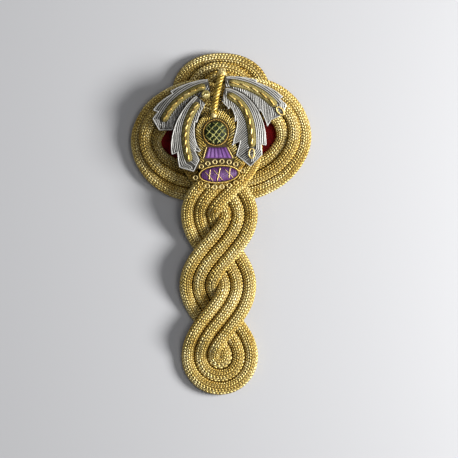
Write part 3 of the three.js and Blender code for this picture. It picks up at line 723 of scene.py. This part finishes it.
def leaf_point(leaf, share):
    share = np.asarray(share, float)[..., None]
    root, bend, tip = (np.array(leaf[k], float) for k in ("root", "bend", "tip"))
    u = 1 - share
    at = u * u * root + 2 * u * share * bend + share * share * tip
    way = u * (bend - root) + share * (tip - bend)
    return at * UNIT, unit(way)


def outward(leaf, way, side):
    turn = leaf["turn"] * -side
    return np.stack([-way[..., 1] * turn, way[..., 0] * turn], -1)


def blade_reach(full, barbs, share):
    stops = [0, *barbs, 1.04]
    i = 0
    while i < len(stops) - 2 and share > stops[i + 1]:
        i += 1
    part = min(1, max(0, (share - stops[i]) / (stops[i + 1] - stops[i])))
    body = 0.34 + 0.66 * min(1, share / 0.7)
    low = 0.7 if i == 0 else 0.6
    fade = 0.8 if i == len(stops) - 2 else 1
    return full * UNIT * body * fade * (low + (1 - low) * part)


def blade_edge(leaf, side):
    barbs = leaf["outer_barbs"] if side > 0 else leaf["inner_barbs"]
    full = leaf["outer"] if side > 0 else leaf["inner"]
    shares = [0.02] + [0.08 * k for k in range(1, 13)]
    for barb in barbs:
        shares += [barb, barb + 0.012]
    points = []
    for share in sorted(shares):
        at, way = leaf_point(leaf, share)
        reach = blade_reach(full, barbs, share) * smooth(share / 0.06 + 0.35) + MIDRIB_WIDTH / 2
        slant = BLADE_SLANT * reach * smooth(share * 3)
        points.append(at + outward(leaf, way, side) * reach + way * slant)
    return points


def leaf_outline(leaf):
    at, way = leaf_point(leaf, 1.0)
    tip = at + way * leaf["point"] * UNIT
    return np.array([*blade_edge(leaf, 1), tip, *blade_edge(leaf, -1)[::-1]])


def leaf_drop(leaf, xy):
    root, tip = np.array(leaf["root"]) * UNIT, np.array(leaf["tip"]) * UNIT
    way = (tip - root) / np.linalg.norm(tip - root)
    return leaf["tilt"] * ((xy - root) @ way) * math.tan(LEAF_TILT)


def inside(polygon, xy):
    x, y = xy[..., 0], xy[..., 1]
    result = np.zeros(x.shape, bool)
    for (x0, y0), (x1, y1) in zip(polygon, np.roll(polygon, -1, 0)):
        if y0 != y1:
            result ^= ((y0 > y) != (y1 > y)) & (x < (x1 - x0) * (y - y0) / (y1 - y0) + x0)
    return result


def edge_distance(polygon, xy):
    best = np.full(xy.shape[:-1], 1e9)
    for a, b in zip(polygon, np.roll(polygon, -1, 0)):
        d = b - a
        t = np.clip(((xy - a) @ d) / max(d @ d, 1e-12), 0, 1)
        best = np.minimum(best, np.linalg.norm(xy - a - t[..., None] * d, axis=-1))
    return best


PURL_RADIUS = 0.29
PURL_PITCH = 0.82
LONG_ROWS = 16
SHORT_RADIUS = 0.24
SHORT_PITCH = 0.92
BLADE_FALL = 0.5
# By the turn of the leaf, -1 on the right: how far its short rows lean, the tones of its rows, and the
# pitch of the dashes on its midrib. The left leaves' rows are darker: painted shade on the side away
# from the light.
SHORT_LEAN = {-1: math.radians(62), 1: math.radians(42)}
SHORT_SHADED_TONE = {-1: 0.66, 1: 0.52}
LONG_SHADED_TONE = {-1: 0.6, 1: 0.26}
DASH_PITCH = {-1: 4.2, 1: 3.3}
DASH_RADIUS = 0.43
DASH_MARGIN = 0.3
PAD_COLUMNS = 11
RIB_PITCH = 0.7


def blade_fall(leaf, xy):
    """How far a blade has sunk at a place, from nothing beside the midrib."""
    rib, _ = leaf_point(leaf, np.linspace(0, 1, 40))
    away = np.linalg.norm(np.asarray(xy)[..., None, :] - rib, axis=-1).min(-1)
    return BLADE_FALL * smooth((away - 1.5) / 6.5)


def runs(mask, shortest):
    """From and to of each stretch of at least so many points in which the mask holds."""
    steps = np.diff(np.concatenate([[0], np.asarray(mask, int), [0]]))
    return [(a, b) for a, b in zip(np.flatnonzero(steps > 0), np.flatnonzero(steps < 0))
            if b - a >= shortest]


def eased(n, steep):
    """From 0 at both ends of n points up to 1 between them."""
    share = np.linspace(0, 1, n)
    return np.minimum(1, np.minimum(share, 1 - share) * steep)


def midrib_last(leaf):
    return 0.94 if leaf["turn"] < 0 else 1.0


def short_rows(gather, leaf, clear, lay):
    """Short purls on the inner side, slanting from the midrib towards the tip."""
    shares = np.linspace(0, 1, 400)
    far = travelled(leaf_point(leaf, shares)[0])
    lean = SHORT_LEAN[leaf["turn"]]
    half = MIDRIB_WIDTH / 2
    chord = unit(np.array(leaf["tip"], float) - np.array(leaf["root"], float))
    rib_start = far[-1] * MIDRIB_START
    rib_end = far[-1] * midrib_last(leaf)
    reach = np.arange(0, 14, 0.12)[:, None]
    last_row = None
    for s in np.arange(-3.0, far[-1] + 3.0, SHORT_PITCH / math.sin(lean)):
        at, way = leaf_point(leaf, np.interp(s, far, shares))
        at = at + way * (min(0, s) + max(0, s - far[-1]))
        course = unit(0.7 * way + 0.3 * chord)
        direction = course * math.cos(lean) + outward(leaf, course, -1) * math.sin(lean)
        # past either end of the midrib the rows start on the midrib's line
        past = smooth((rib_start + 1.2 - s) / 1.5) + smooth((s - rib_end) / 1.5)
        start = at + outward(leaf, way, -1) * half * 0.75 - direction * half * 1.7 * past
        xy = start + direction * reach + way * reach ** 2 * 0.012
        good = clear(xy, PURL_RADIUS * 0.95)
        if last_row is not None:
            apart = np.linalg.norm(xy[:, None] - last_row[None, ::3], axis=-1).min(1)
            good &= apart > SHORT_PITCH * 0.52
        for a, b in sorted(runs(good, 8), key=lambda run: run[0] - run[1])[:1]:
            last_row = xy[a:b]
            purl(gather, lay(last_row, 0), SHORT_RADIUS, SHORT_SHADED_TONE[leaf["turn"]] + rng.normal(0, 0.16))


def long_rows(gather, leaf, clear, lay):
    """Long purls on the outer side, along the midrib."""
    half = MIDRIB_WIDTH / 2
    length = travelled(leaf_point(leaf, np.linspace(0, 1, 400))[0])[-1]
    shares = np.linspace(0.02, 1.12, 260)
    at, way = leaf_point(leaf, np.minimum(shares, 1.0))
    at = at + way * (np.maximum(shares - 1, 0) * length)[:, None]
    fan = 1 - 0.35 * smooth((0.25 - shares) / 0.25)
    narrow = 1 - smooth((shares - midrib_last(leaf)) / 0.08)
    for k in range(LONG_ROWS):
        off = PURL_RADIUS + k * PURL_PITCH
        xy = at + outward(leaf, way, 1) * (half * narrow + off * fan)[:, None]
        xy = xy + way * (0.25 * off * smooth(shares * 3))[:, None]
        for a, b in runs(clear(xy, PURL_RADIUS * 0.95), 7):
            purl(gather, lay(xy[a:b], 0.04), PURL_RADIUS, LONG_SHADED_TONE[leaf["turn"]] + rng.normal(0, 0.1))


def edge_row(gather, outline, covers, lay):
    """One purl along the edge, inside it by its own radius."""
    inset = []
    for a, b, c in zip(np.roll(outline, 1, 0), outline, np.roll(outline, -1, 0)):
        before, after = unit(b - a), unit(c - b)
        normal = np.array([-before[1], before[0]])
        mid = unit(normal + [-after[1], after[0]])
        move = mid * PURL_RADIUS * 0.9 / max(0.5, float(mid @ normal))
        inset.append(b + move if inside(outline, b + move * 0.2) else b - move)
    fine = Line(np.column_stack([inset, np.zeros(len(inset))]), False, 0.15).at[:, :2]
    good = np.ones(len(fine), bool)
    for cover in covers:
        good &= ~inside(cover, fine) & (edge_distance(cover, fine) > PURL_RADIUS + 0.2)
    for a, b in runs(good, 9):
        purl(gather, lay(fine[a:b], 0.08), PURL_RADIUS, 0.7)


def embroidered_leaf(name, leaf, over):
    """Rows of purl on a leaf, kept clear of the leaves that lie over it."""
    outline = leaf_outline(leaf)
    covers = [leaf_outline(other) for other in over]
    base = BADGE_BASE + LEAF_THICKNESS - PURL_RADIUS * 0.9

    def clear(xy, margin):
        good = inside(outline, xy) & (edge_distance(outline, xy) > margin)
        for cover in covers:
            good &= ~inside(cover, xy) & (edge_distance(cover, xy) > margin + 0.2)
        return good

    def lay(xy, bulge):
        sunk = 0.28 * (1 - eased(len(xy), 6)) + leaf_drop(leaf, xy) + blade_fall(leaf, xy)
        return np.column_stack([xy, base - sunk + bulge])

    gather = Gather()
    short_rows(gather, leaf, clear, lay)
    long_rows(gather, leaf, clear, lay)
    edge_row(gather, outline, covers, lay)
    gather.piece("leaf_" + name + "_purl", [SILVER], None)

    def lowered(co):
        xy = np.array([co.x, co.y]) / MM - ORIGIN[:2]
        level = co.z / MM + float(leaf_drop(leaf, xy)) - BADGE_BASE
        share = min(1, max(0, level / LEAF_THICKNESS))
        return co.z - (PURL_RADIUS * 1.5 + float(blade_fall(leaf, xy))) * share * MM

    softened("leaf_" + name, "leaf_" + name + "_base", SHADOW, 0, lowered)


def midrib_pad(name, line):
    """Padded strip with slanting ribs."""
    gather = Gather()
    across = np.linspace(-1, 1, PAD_COLUMNS)
    n = line.count + 1
    far = np.linspace(0, line.length, n)
    end = np.minimum(1, np.minimum(far, line.length - far) / 1.6)
    wide = MIDRIB_WIDTH / 2 * (0.35 + 0.65 * np.sqrt(np.clip(end, 0, 1)))
    x = across[None] * wide[:, None]
    slant = far[:, None] - np.abs(across[None]) * MIDRIB_WIDTH * 0.3
    ribs = 0.5 + 0.5 * np.cos(math.tau * slant / RIB_PITCH)
    top = MIDRIB_THICKNESS * (0.8 - across[None] ** 4 * 0.6) * (0.5 + 0.5 * end[:, None])
    h = -0.35 + top + 0.16 * (ribs - 1)
    h[:, 0] = h[:, -1] = -0.6
    points = line.at[:, None] + line.side[:, None] * x[..., None] + line.rise[:, None] * h[..., None]
    # Tone follows the ribs: darker in the hollows between them, painted shade.
    gather.add(points, strip_faces(n, PAD_COLUMNS, False, False), np.stack([x, slant], -1),
               (0.12 + 0.7 * ribs).ravel())
    gather.piece("midrib_" + name + "_pad", [OLIVE], ["midrib_" + name])


def midrib_line(name, line, pitch):
    """Twisted line along the strip, with slanting dashes on it."""
    gather = Gather()
    ridge = line.at + line.rise * (MIDRIB_THICKNESS - 0.5)
    # The rope under the dashes has the darkest tone: painted shade in the gaps between the dashes.
    rope(gather, ridge[3:-3], 0.26, 1.2, tone=0.0, step=0.2)
    t = np.linspace(-1, 1, 11)
    swell = DASH_RADIUS * (1.02 - t ** 6) ** 0.5
    span = line.length - 2 * DASH_MARGIN
    pitch = span / round(span / pitch)
    for s in np.arange(DASH_MARGIN + pitch / 2, line.length - DASH_MARGIN, pitch):
        half = pitch * rng.uniform(0.36, 0.41)
        at, side, rise = line.frames(s + t * half)
        dash = at + side * (0.3 * t)[:, None] + rise * (MIDRIB_THICKNESS - 0.3)
        dash_line = Line(dash, False, half * 0.12)
        width = np.interp(np.linspace(-1, 1, dash_line.count + 1), t, swell)
        tube(gather, dash_line, width, 8, 0.5 + rng.normal(0, 0.12))
    gather.piece("midrib_" + name + "_line", [WIRE], None)


def midrib_end(name, leaf, last):
    """Small coiled loop beyond the end of a midrib."""
    at, way = leaf_point(leaf, last)
    centre = at + way * (END_LOOP_LENGTH / 2 + END_WIRE + CLEARANCE)
    loop = arc(centre, END_LOOP_LENGTH / 2, END_LOOP_WIDTH / 2, LEAF_TOP + END_WIRE,
               math.atan2(way[1], way[0]))
    loop[:, 2] -= leaf_drop(leaf, loop[:, :2])
    gather = Gather()
    purl(gather, loop, END_WIRE * 1.15, 0.6, 0.25, 8, True)
    gather.piece("midrib_" + name + "_loop", [WIRE], ["midrib_end_" + name])


def midrib(name, leaf):
    last = midrib_last(leaf)
    at, _ = leaf_point(leaf, np.linspace(MIDRIB_START, last, 60))
    line = Line(np.column_stack([at, LEAF_TOP - leaf_drop(leaf, at)]), False, 0.16)
    midrib_pad(name, line)
    midrib_line(name, line, DASH_PITCH[leaf["turn"]])
    if leaf["turn"] < 0:
        midrib_end(name, leaf, last)


for name, leaf in LEAVES.items():
    over = [o for o in LEAVES.values() if leaf["tilt"] > o["tilt"] and leaf["turn"] == o["turn"]]
    embroidered_leaf(name, leaf, over)
    midrib(name, leaf)

# Curl at the root of the lower left leaf, a flat coil with a bright nub
curl = Gather()
purl(curl, arc(CURL, CURL_RADIUS, CURL_RADIUS, LEAF_TOP + CURL_WIRE), CURL_WIRE, 0.75, 0.4, 9, True)
purl(curl, arc(CURL, CURL_RADIUS * 0.45, CURL_RADIUS * 0.45, LEAF_TOP + CURL_WIRE), 0.42, 0.6, 0.4, 7,
     True)
for shift in (-0.45, 0.45):
    purl(curl, [(CURL[0] - 1.0 + shift, CURL[1] - 1.1, LEAF_TOP + 1.0),
                (CURL[0] + shift, CURL[1] - 0.4, LEAF_TOP + 1.25),
                (CURL[0] + 0.7 + shift, CURL[1] + 0.2, LEAF_TOP + 1.1)], 0.36, 0.85, 0.4, 8, slot=1)
curl.piece("leaf_curl_coil", [OLIVE, WIRE], ["leaf_curl"])


# Ground of gold threads round the cup and the flower

def ground_value(along, key):
    rows = np.array(GROUND_ROWS)
    return np.interp(-np.asarray(along) / UNIT, -rows[:, 0], rows[:, key]) * UNIT


def in_cup(xy, wider):
    """Inside the cup's outline, widened by so much; xy is from its middle."""
    x, y = xy[..., 0] / (CUP_WIDTH / 2 + wider), xy[..., 1] / (CUP_LENGTH / 2 + wider)
    return x ** 2 + y ** 2 < 1


cup_reach = CUP_LENGTH / 2 + CLEARANCE + 2 * RIM_WIRE + CLEARANCE
loop_band = CLEARANCE + 2 * FLOWER_WIRE + CLEARANCE + 2 * (LOOP_RADIUS + LOOP_WIRE)
flower_ends = {"cup": CUP[1] - cup_reach, "loops": PAD[1] + PAD_LENGTH / 2 + loop_band + CLEARANCE}
flower = [np.array([CUP[0] + a * CUP_WIDTH, flower_ends[e]]) for a, e in FLOWER_CORNERS]


GROUND_PITCH = 0.86
# Sectors of the ground: side of the cup, lean of the rows, from and to along from the cup's middle
GROUND_SECTORS = [(-1, 40, -30, 2.6), (1, 40, -30, 2.6), (-1, 66, 2.2, 12), (1, 66, 2.2, 12)]


def gold_ground():
    """Rows of twist that fan out from the cup and the flower."""
    leaf_outlines = [leaf_outline(leaf) for leaf in LEAVES.values()]

    def clear(xy):
        good = np.ones(len(xy), bool)
        for outline in leaf_outlines:
            good &= ~inside(outline, xy) & (edge_distance(outline, xy) > 0.45)
        good &= xy[:, 1] < GROUND_ROWS[0][0] * UNIT
        good &= xy[:, 1] > GROUND_ROWS[-1][0] * UNIT
        good &= xy[:, 0] > ground_value(xy[:, 1], 1) - 0.3
        good &= xy[:, 0] < ground_value(xy[:, 1], 2) + 0.3
        return good

    def beside(xy):
        """Outside the cup's rim, the flower's edges and the pad's rim."""
        good = ~in_cup(xy - CUP, 1.4)
        good &= ~inside(flower_area, xy) & (edge_distance(flower_area, xy) > 1.2)
        x, y = (xy - PAD).T
        x, y = x / (PAD_WIDTH / 2 + loop_band), y / (PAD_LENGTH / 2 + loop_band)
        return good & (x ** 2 + y ** 2 > 1)

    gather = Gather()
    z = BADGE_BASE + GROUND_THICKNESS - 0.16
    flower_area = np.array(flower)
    reach = np.arange(-25, 25, 0.15)
    for side, lean, low, high in GROUND_SECTORS:
        lean = math.radians(lean)
        direction = np.array([side * math.cos(lean), math.sin(lean)])
        normal = np.array([-side * math.sin(lean), math.cos(lean)])
        for k in range(-30, 31):
            xy = CUP + normal * k * GROUND_PITCH + direction * reach[:, None]
            good = clear(xy) & beside(xy) & ((xy[:, 0] - CUP[0]) * side > -0.3)
            good &= (xy[:, 1] > CUP[1] + low) & (xy[:, 1] < CUP[1] + high + rng.uniform(-0.4, 0.4))
            for a, b in runs(good, 7):
                height = z - 0.3 * (1 - eased(b - a, 5)) + 0.08 * (k % 2)
                rope(gather, np.column_stack([xy[a:b], height]), 0.33, 1.5,
                     tone=0.55 + rng.normal(0, 0.14))
    gather.piece("badge_ground_threads", [THREAD], None)

    def lowered(co):
        share = min(1, max(0, (co.z / MM - BADGE_BASE) / GROUND_THICKNESS))
        return co.z - 0.45 * share * MM

    softened("badge_ground", "badge_ground_base", GROUND, 0, lowered)


gold_ground()

# Stem: thick rope with oblique turns, a wound knob at each end
knob_top = np.array([*STEM_TOP, BADGE_BASE + KNOB_RADIUS])
knob_foot = np.array([STEM_FOOT_ACROSS, CUP[1] + cup_reach + STEM_RADIUS, BADGE_TOP + STEM_RADIUS])
stem_bend = np.array([*STEM_BEND, (knob_top[2] + knob_foot[2]) / 2])
t = np.linspace(0, 1, 80)[:, None]
stem_line = (1 - t) ** 2 * knob_top + 2 * t * (1 - t) * stem_bend + t ** 2 * knob_foot
stem_piece = Gather()
rope(stem_piece, stem_line[5:-4], STEM_RADIUS * 1.12, -6.2, plies=4, sides=9, tone=0.42, step=0.3)
# Inner tube in the core's dark colour: painted shade between the plies.
tube(stem_piece, Line(stem_line[5:-4], False, 0.6), STEM_RADIUS * 0.62, 8, 0.5, 1)
stem_piece.piece("stem_rope", [THREAD, SHADE_CORE], ["stem"])


KNOB_THREAD = 0.3
KNOB_TURNS = 7


def on_ball(polar, spin):
    return np.stack([np.sin(polar) * np.cos(spin), np.sin(polar) * np.sin(spin), np.cos(polar)], -1)


def knob(name, centre, radius, node):
    """Ball wound with thread in slanting turns."""
    gather = Gather()
    t = np.linspace(0.04, 0.96, 160)
    inner = radius - KNOB_THREAD
    x, y, z = on_ball(math.pi * t, math.tau * KNOB_TURNS * t).T
    points = np.stack([x, y * 0.94 + z * 0.34, z * 0.94 - y * 0.34], 1) * inner + centre
    way = Line(points, False, 0.22)
    way.side = unit(np.cross(way.way, way.at - centre))
    way.rise = unit(np.cross(way.side, way.way))
    tube(gather, way, KNOB_THREAD, 7, 0.75)
    ball = on_ball(*np.meshgrid(np.linspace(0.02, math.pi - 0.02, 10),
                                np.arange(14) * math.tau / 14, indexing="ij"))
    gather.add(ball.reshape(-1, 3) * (inner + 0.05) + centre, strip_faces(10, 14, False), None, 0.2)
    gather.piece(name, [WIRE], [node])


knob("stem_knob_top_wound", knob_top, KNOB_RADIUS, "stem_knob_top")
knob("stem_knob_foot_wound", knob_foot, STEM_RADIUS, "stem_knob_foot")


# Cup, flower and lower pad

CUP_CROWN = CUP_RISE - 0.35
PAD_CROWN = PAD_RISE - 0.25


def dome_height(x, y, half_width, half_length, rise):
    return rise * np.sqrt(np.clip(1 - (x / half_width) ** 2 - (y / half_length) ** 2, 0, 1))


def oval_dome(gather, centre, half_width, half_length, rise, turn, wave=0.0, wave_pitch=1.0):
    """Padded oval; wave is the height of the ribs across it."""
    rings, sides = 18, 72
    r = np.sin(np.linspace(0.03, 1, rings) * math.pi / 2)[:, None]
    a = (math.tau * np.arange(sides) / sides)[None]
    x, y = half_width * r * np.cos(a), half_length * r * np.sin(a)
    h = dome_height(x, y, half_width, half_length, rise)
    h = h + wave * np.cos(math.tau * x / wave_pitch) * np.minimum(1, h / rise * 3)
    points = np.stack([*turned(centre, x, y, turn), BADGE_TOP + h], -1).reshape(-1, 3)
    points = np.vstack([points, [*centre, BADGE_TOP + rise]])
    uv = np.vstack([np.stack([x, y], -1).reshape(-1, 2), [0, 0]])
    faces = strip_faces(rings, sides, False)
    faces += [(rings * sides, (j + 1) % sides, j) for j in range(sides)]
    # Tone follows the ribs: lighter on their crests and darker in their hollows, painted light and
    # shade.
    tone = 0.5 + 0.22 * np.cos(math.tau * uv[:, 0] / wave_pitch) * (wave > 0)
    gather.add(points, faces, uv, tone)


def on_cup(x, y):
    return BADGE_TOP + dome_height(x, y, CUP_WIDTH / 2, CUP_LENGTH / 2, CUP_CROWN)


cup = Gather()
oval_dome(cup, CUP, CUP_WIDTH / 2, CUP_LENGTH / 2, CUP_CROWN, 0)
cup.piece("thistle_cup_silk", [GREEN], ["thistle_cup"])

LATTICE_PITCH = 2.0
LATTICE_LEANS = (math.radians(48), math.radians(-42))
LATTICE_SHIFT = 0.15
lattice = Gather()
for lean in LATTICE_LEANS:
    along = np.array([math.cos(lean), math.sin(lean)])
    across = np.array([-along[1], along[0]])
    for k in range(-2, 3):
        off = (k + LATTICE_SHIFT + rng.uniform(-0.13, 0.13)) * LATTICE_PITCH
        reach = np.linspace(-6, 6, 120)
        xy = along * reach[:, None] + across * off
        for a, b in runs(in_cup(xy, -0.2), 8):
            part = xy[a:b]
            z = on_cup(*part.T) + 0.15
            wave = reach[a:b] * math.pi / LATTICE_PITCH + (0 if lean > 0 else math.pi)
            part = part + across * (0.12 * np.sin(wave * 0.7 + k))[:, None]
            rope(lattice, np.column_stack([part + CUP, z + 0.16 * np.sin(wave)]), 0.23, 1.0,
                 tone=0.55 + rng.normal(0, 0.14), step=0.2)
# short stitches that tie down each crossing
normals = [np.array([-math.sin(lean), math.cos(lean)]) for lean in LATTICE_LEANS]
for i in range(-2, 3):
    for j in range(-2, 3):
        at = normals[0] * (i + LATTICE_SHIFT) + normals[1] * (j + LATTICE_SHIFT)
        at = at * LATTICE_PITCH + rng.uniform(-0.2, 0.2, 2)
        if not in_cup(at, -0.7):
            continue
        z = on_cup(*at) + 0.42
        x, y = at + CUP
        dx, dy = rng.uniform(-0.3, 0.3), rng.uniform(0.45, 0.65)
        rope(lattice, [(x - dx, y - dy, z - 0.2), (x, y, z), (x + dx, y + dy, z - 0.2)],
             0.2, 0.8, tone=0.75, step=0.15)
lattice.piece("thistle_lattice", [LATTICE], None)


def twisted_rim(node, centre, width, length, wire, turn, count, radius, lay, tone):
    gather = Gather()
    out = CLEARANCE + wire
    course = arc(centre, width / 2 + out, length / 2 + out, BADGE_TOP + wire, turn, count=count)
    rope(gather, course, radius, lay, closed=True, tone=tone, step=0.16)
    gather.piece(node + "_twist", [WIRE], [node])


twisted_rim("cup_rim", CUP, CUP_WIDTH, CUP_LENGTH, RIM_WIRE, 0, 90, RIM_WIRE * 0.75, 1.0, 0.16)
twisted_rim("pad_rim", PAD, PAD_WIDTH, PAD_LENGTH, FLOWER_WIRE, PAD_TURN, 120, FLOWER_WIRE, 0.9, 0.4)


def satin_flower():
    """Satin stitch in six ribs, with an edge down to the ground all round."""
    gather = Gather()
    rows, columns = 26, 73
    t = np.linspace(0, 1, rows)[:, None]
    u = np.linspace(0, 1, columns)[None]
    left = flower[0][None] + (flower[1] - flower[0])[None] * t
    right = flower[3][None] + (flower[2] - flower[3])[None] * t
    xy = left[:, None] + (right - left)[:, None] * u[..., None]
    bow = 0.5 * (1 - (2 * u - 1) ** 2) * (1 - t)
    xy[..., 1] -= bow * 0.4
    ribs = 0.5 + 0.5 * np.cos(math.tau * (u * 6 - 0.5))
    end = eased(rows, 7)[:, None] * eased(columns, 14)
    h = 0.35 + (FLOWER_THICKNESS - 0.35) * (0.6 + 0.4 * ribs ** 0.7) * np.sqrt(end)
    points = np.concatenate([xy, (BADGE_TOP + h)[..., None]], -1)
    uv = np.stack(np.broadcast_arrays(u * 11.0, t * 5.0), -1)
    # The ribs' term paints the hollows between ribs darker as shade; the fine sine streaks are the
    # thread's own tone.
    tone = (0.53 + 0.13 * (ribs - 0.45) + 0.07 * np.sin(u * 61)) * np.ones_like(t)
    gather.add(points, strip_faces(rows, columns, False, False), uv, tone.ravel())
    border = ([(0, j) for j in range(columns)] + [(i, columns - 1) for i in range(1, rows)]
              + [(rows - 1, j) for j in range(columns - 2, -1, -1)]
              + [(i, 0) for i in range(rows - 2, 0, -1)])
    top = np.array([points[i, j] for i, j in border])
    low = top.copy()
    low[:, 2] = BADGE_TOP
    n = len(top)
    # The edge wall is given a dark tone: painted shade on its side.
    gather.add(np.vstack([top, low]), [(k, (k + 1) % n, n + (k + 1) % n, n + k) for k in range(n)],
               None, 0.2)
    gather.piece("thistle_flower_satin", [PURPLE], ["thistle_flower"])


satin_flower()
for name, top, low, side in (("left", 0, 1, -1), ("right", 3, 2, 1)):
    gather = Gather()
    out = side * (CLEARANCE + FLOWER_WIRE * 1.05)
    ends = [(flower[k][0] + out, flower[k][1], BADGE_TOP + FLOWER_WIRE) for k in (top, low)]
    rope(gather, ends, FLOWER_WIRE, 0.9, tone=0.65, step=0.16)
    gather.piece("flower_edge_" + name + "_twist", [WIRE], ["flower_edge_" + name])

pad = Gather()
oval_dome(pad, PAD, PAD_WIDTH / 2, PAD_LENGTH / 2, PAD_CROWN, PAD_TURN, 0.06, 0.9)
pad.piece("lower_pad_silk", [PAD_SILK], ["lower_pad"])

# Crossed stitches on the pad: from and to, in shares of its half width and half length, and radius
PAD_STITCHES = [
    (-0.56, -0.62, -0.46, 0.72, 0.26), (-0.75, 0.42, -0.36, -0.8, 0.2),
    (-0.12, -0.86, 0.08, 0.86, 0.28), (-0.28, 0.62, 0.16, -0.82, 0.2),
    (0.52, -0.66, 0.62, 0.74, 0.26), (0.34, 0.6, 0.74, -0.6, 0.2),
]
stitches = Gather()
for x0, y0, x1, y1, thick in PAD_STITCHES:
    t = np.linspace(0, 1, 24)
    x = (x0 + (x1 - x0) * t) * PAD_WIDTH / 2
    y = (y0 + (y1 - y0) * t) * PAD_LENGTH / 2
    z = BADGE_TOP + dome_height(x, y, PAD_WIDTH / 2, PAD_LENGTH / 2, PAD_CROWN) + 0.12
    rope(stitches, np.column_stack([*turned(PAD, x, y, PAD_TURN), z]), thick, 0.9, tone=0.66,
         step=0.18)
stitches.piece("lower_pad_stitches", [WIRE], None)


# Rows of small wire loops round the pad
def on_pad(out, degrees):
    a = math.radians(degrees)
    x, y = (PAD_WIDTH / 2 + out) * math.cos(a), (PAD_LENGTH / 2 + out) * math.sin(a)
    return np.array(turned(PAD, x, y, PAD_TURN))


for prefix, (count, start, end), base in (("upper_loop_", UPPER_LOOPS, BADGE_TOP),
                                          ("lower_loop_", LOWER_LOOPS, BADGE_BASE)):
    out = loop_band - LOOP_RADIUS - LOOP_WIRE
    fine = np.array([on_pad(out, start + (end - start) * i / 200) for i in range(201)])
    far = travelled(fine)
    for k in range(count):
        i = int(np.argmax(far >= far[-1] * k / (count - 1) - 1e-9))
        gap = math.radians(rng.uniform(-140, -40))
        gather = Gather()
        ring = arc(fine[i], LOOP_RADIUS, LOOP_RADIUS, base + LOOP_WIRE + 0.02, gap,
                   0.16, math.tau - 0.16, 30)
        purl(gather, ring, LOOP_WIRE, 0.64 + rng.normal(0, 0.08), 0.2, 7)
        gather.piece(f"{prefix}{k + 1}_coil", [WIRE], [f"{prefix}{k + 1}"])


# Floor, light and camera

LIGHT_TARGET = Vector((0, 0, 0.01))


def area_light(name, place, size, power):
    data = bpy.data.lights.new(name, "AREA")
    data.shape = "DISK"
    data.size = size
    data.energy = power
    light = placed(name, data)
    light.location = place
    light.rotation_euler = (LIGHT_TARGET - Vector(place)).to_track_quat("-Z", "Y").to_euler()


floor_mesh = bpy.data.meshes.new("floor")
floor_mesh.from_pydata([(-3, -3, 0), (3, -3, 0), (3, 3, 0), (-3, 3, 0)], [], [(0, 1, 2, 3)])
floor = placed("floor", floor_mesh)
floor_paint, _, floor_shader = principled("floor_paint")
floor_shader.inputs["Base Color"].default_value = (0.5, 0.5, 0.51, 1)
floor_shader.inputs["Roughness"].default_value = 0.9
floor_mesh.materials.append(floor_paint)

area_light("key", (0.62, 0.0, 0.42), 0.3, 10.4)
area_light("fill", (-0.8, 0.3, 0.9), 0.8, 0.5)
area_light("top", (0.35, 0.1, 1.3), 0.5, 3.2)

world = bpy.data.worlds.new("soft_studio")
bpy.context.scene.world = world
world.use_nodes = True
sky = world.node_tree.nodes["Background"]
sky.inputs["Color"].default_value = (0.9, 0.93, 1.0, 1)
sky.inputs["Strength"].default_value = 0.14

# In metres: what the frame's width covers, at the cords' height, and where the camera is
VIEW_WIDTH = 0.2004
VIEW_LEVEL = 0.008
CAMERA_PLACE = (0.0035, -0.0023, 1.6)
SENSOR_WIDTH = 36
camera_data = bpy.data.cameras.new("camera")
camera_data.sensor_width = SENSOR_WIDTH
camera_data.lens = SENSOR_WIDTH * (CAMERA_PLACE[2] - VIEW_LEVEL) / VIEW_WIDTH
camera_data.clip_start = 0.01
camera = placed("camera", camera_data)
camera.location = CAMERA_PLACE
bpy.context.scene.camera = camera
bpy.context.scene.view_settings.view_transform = "Standard"
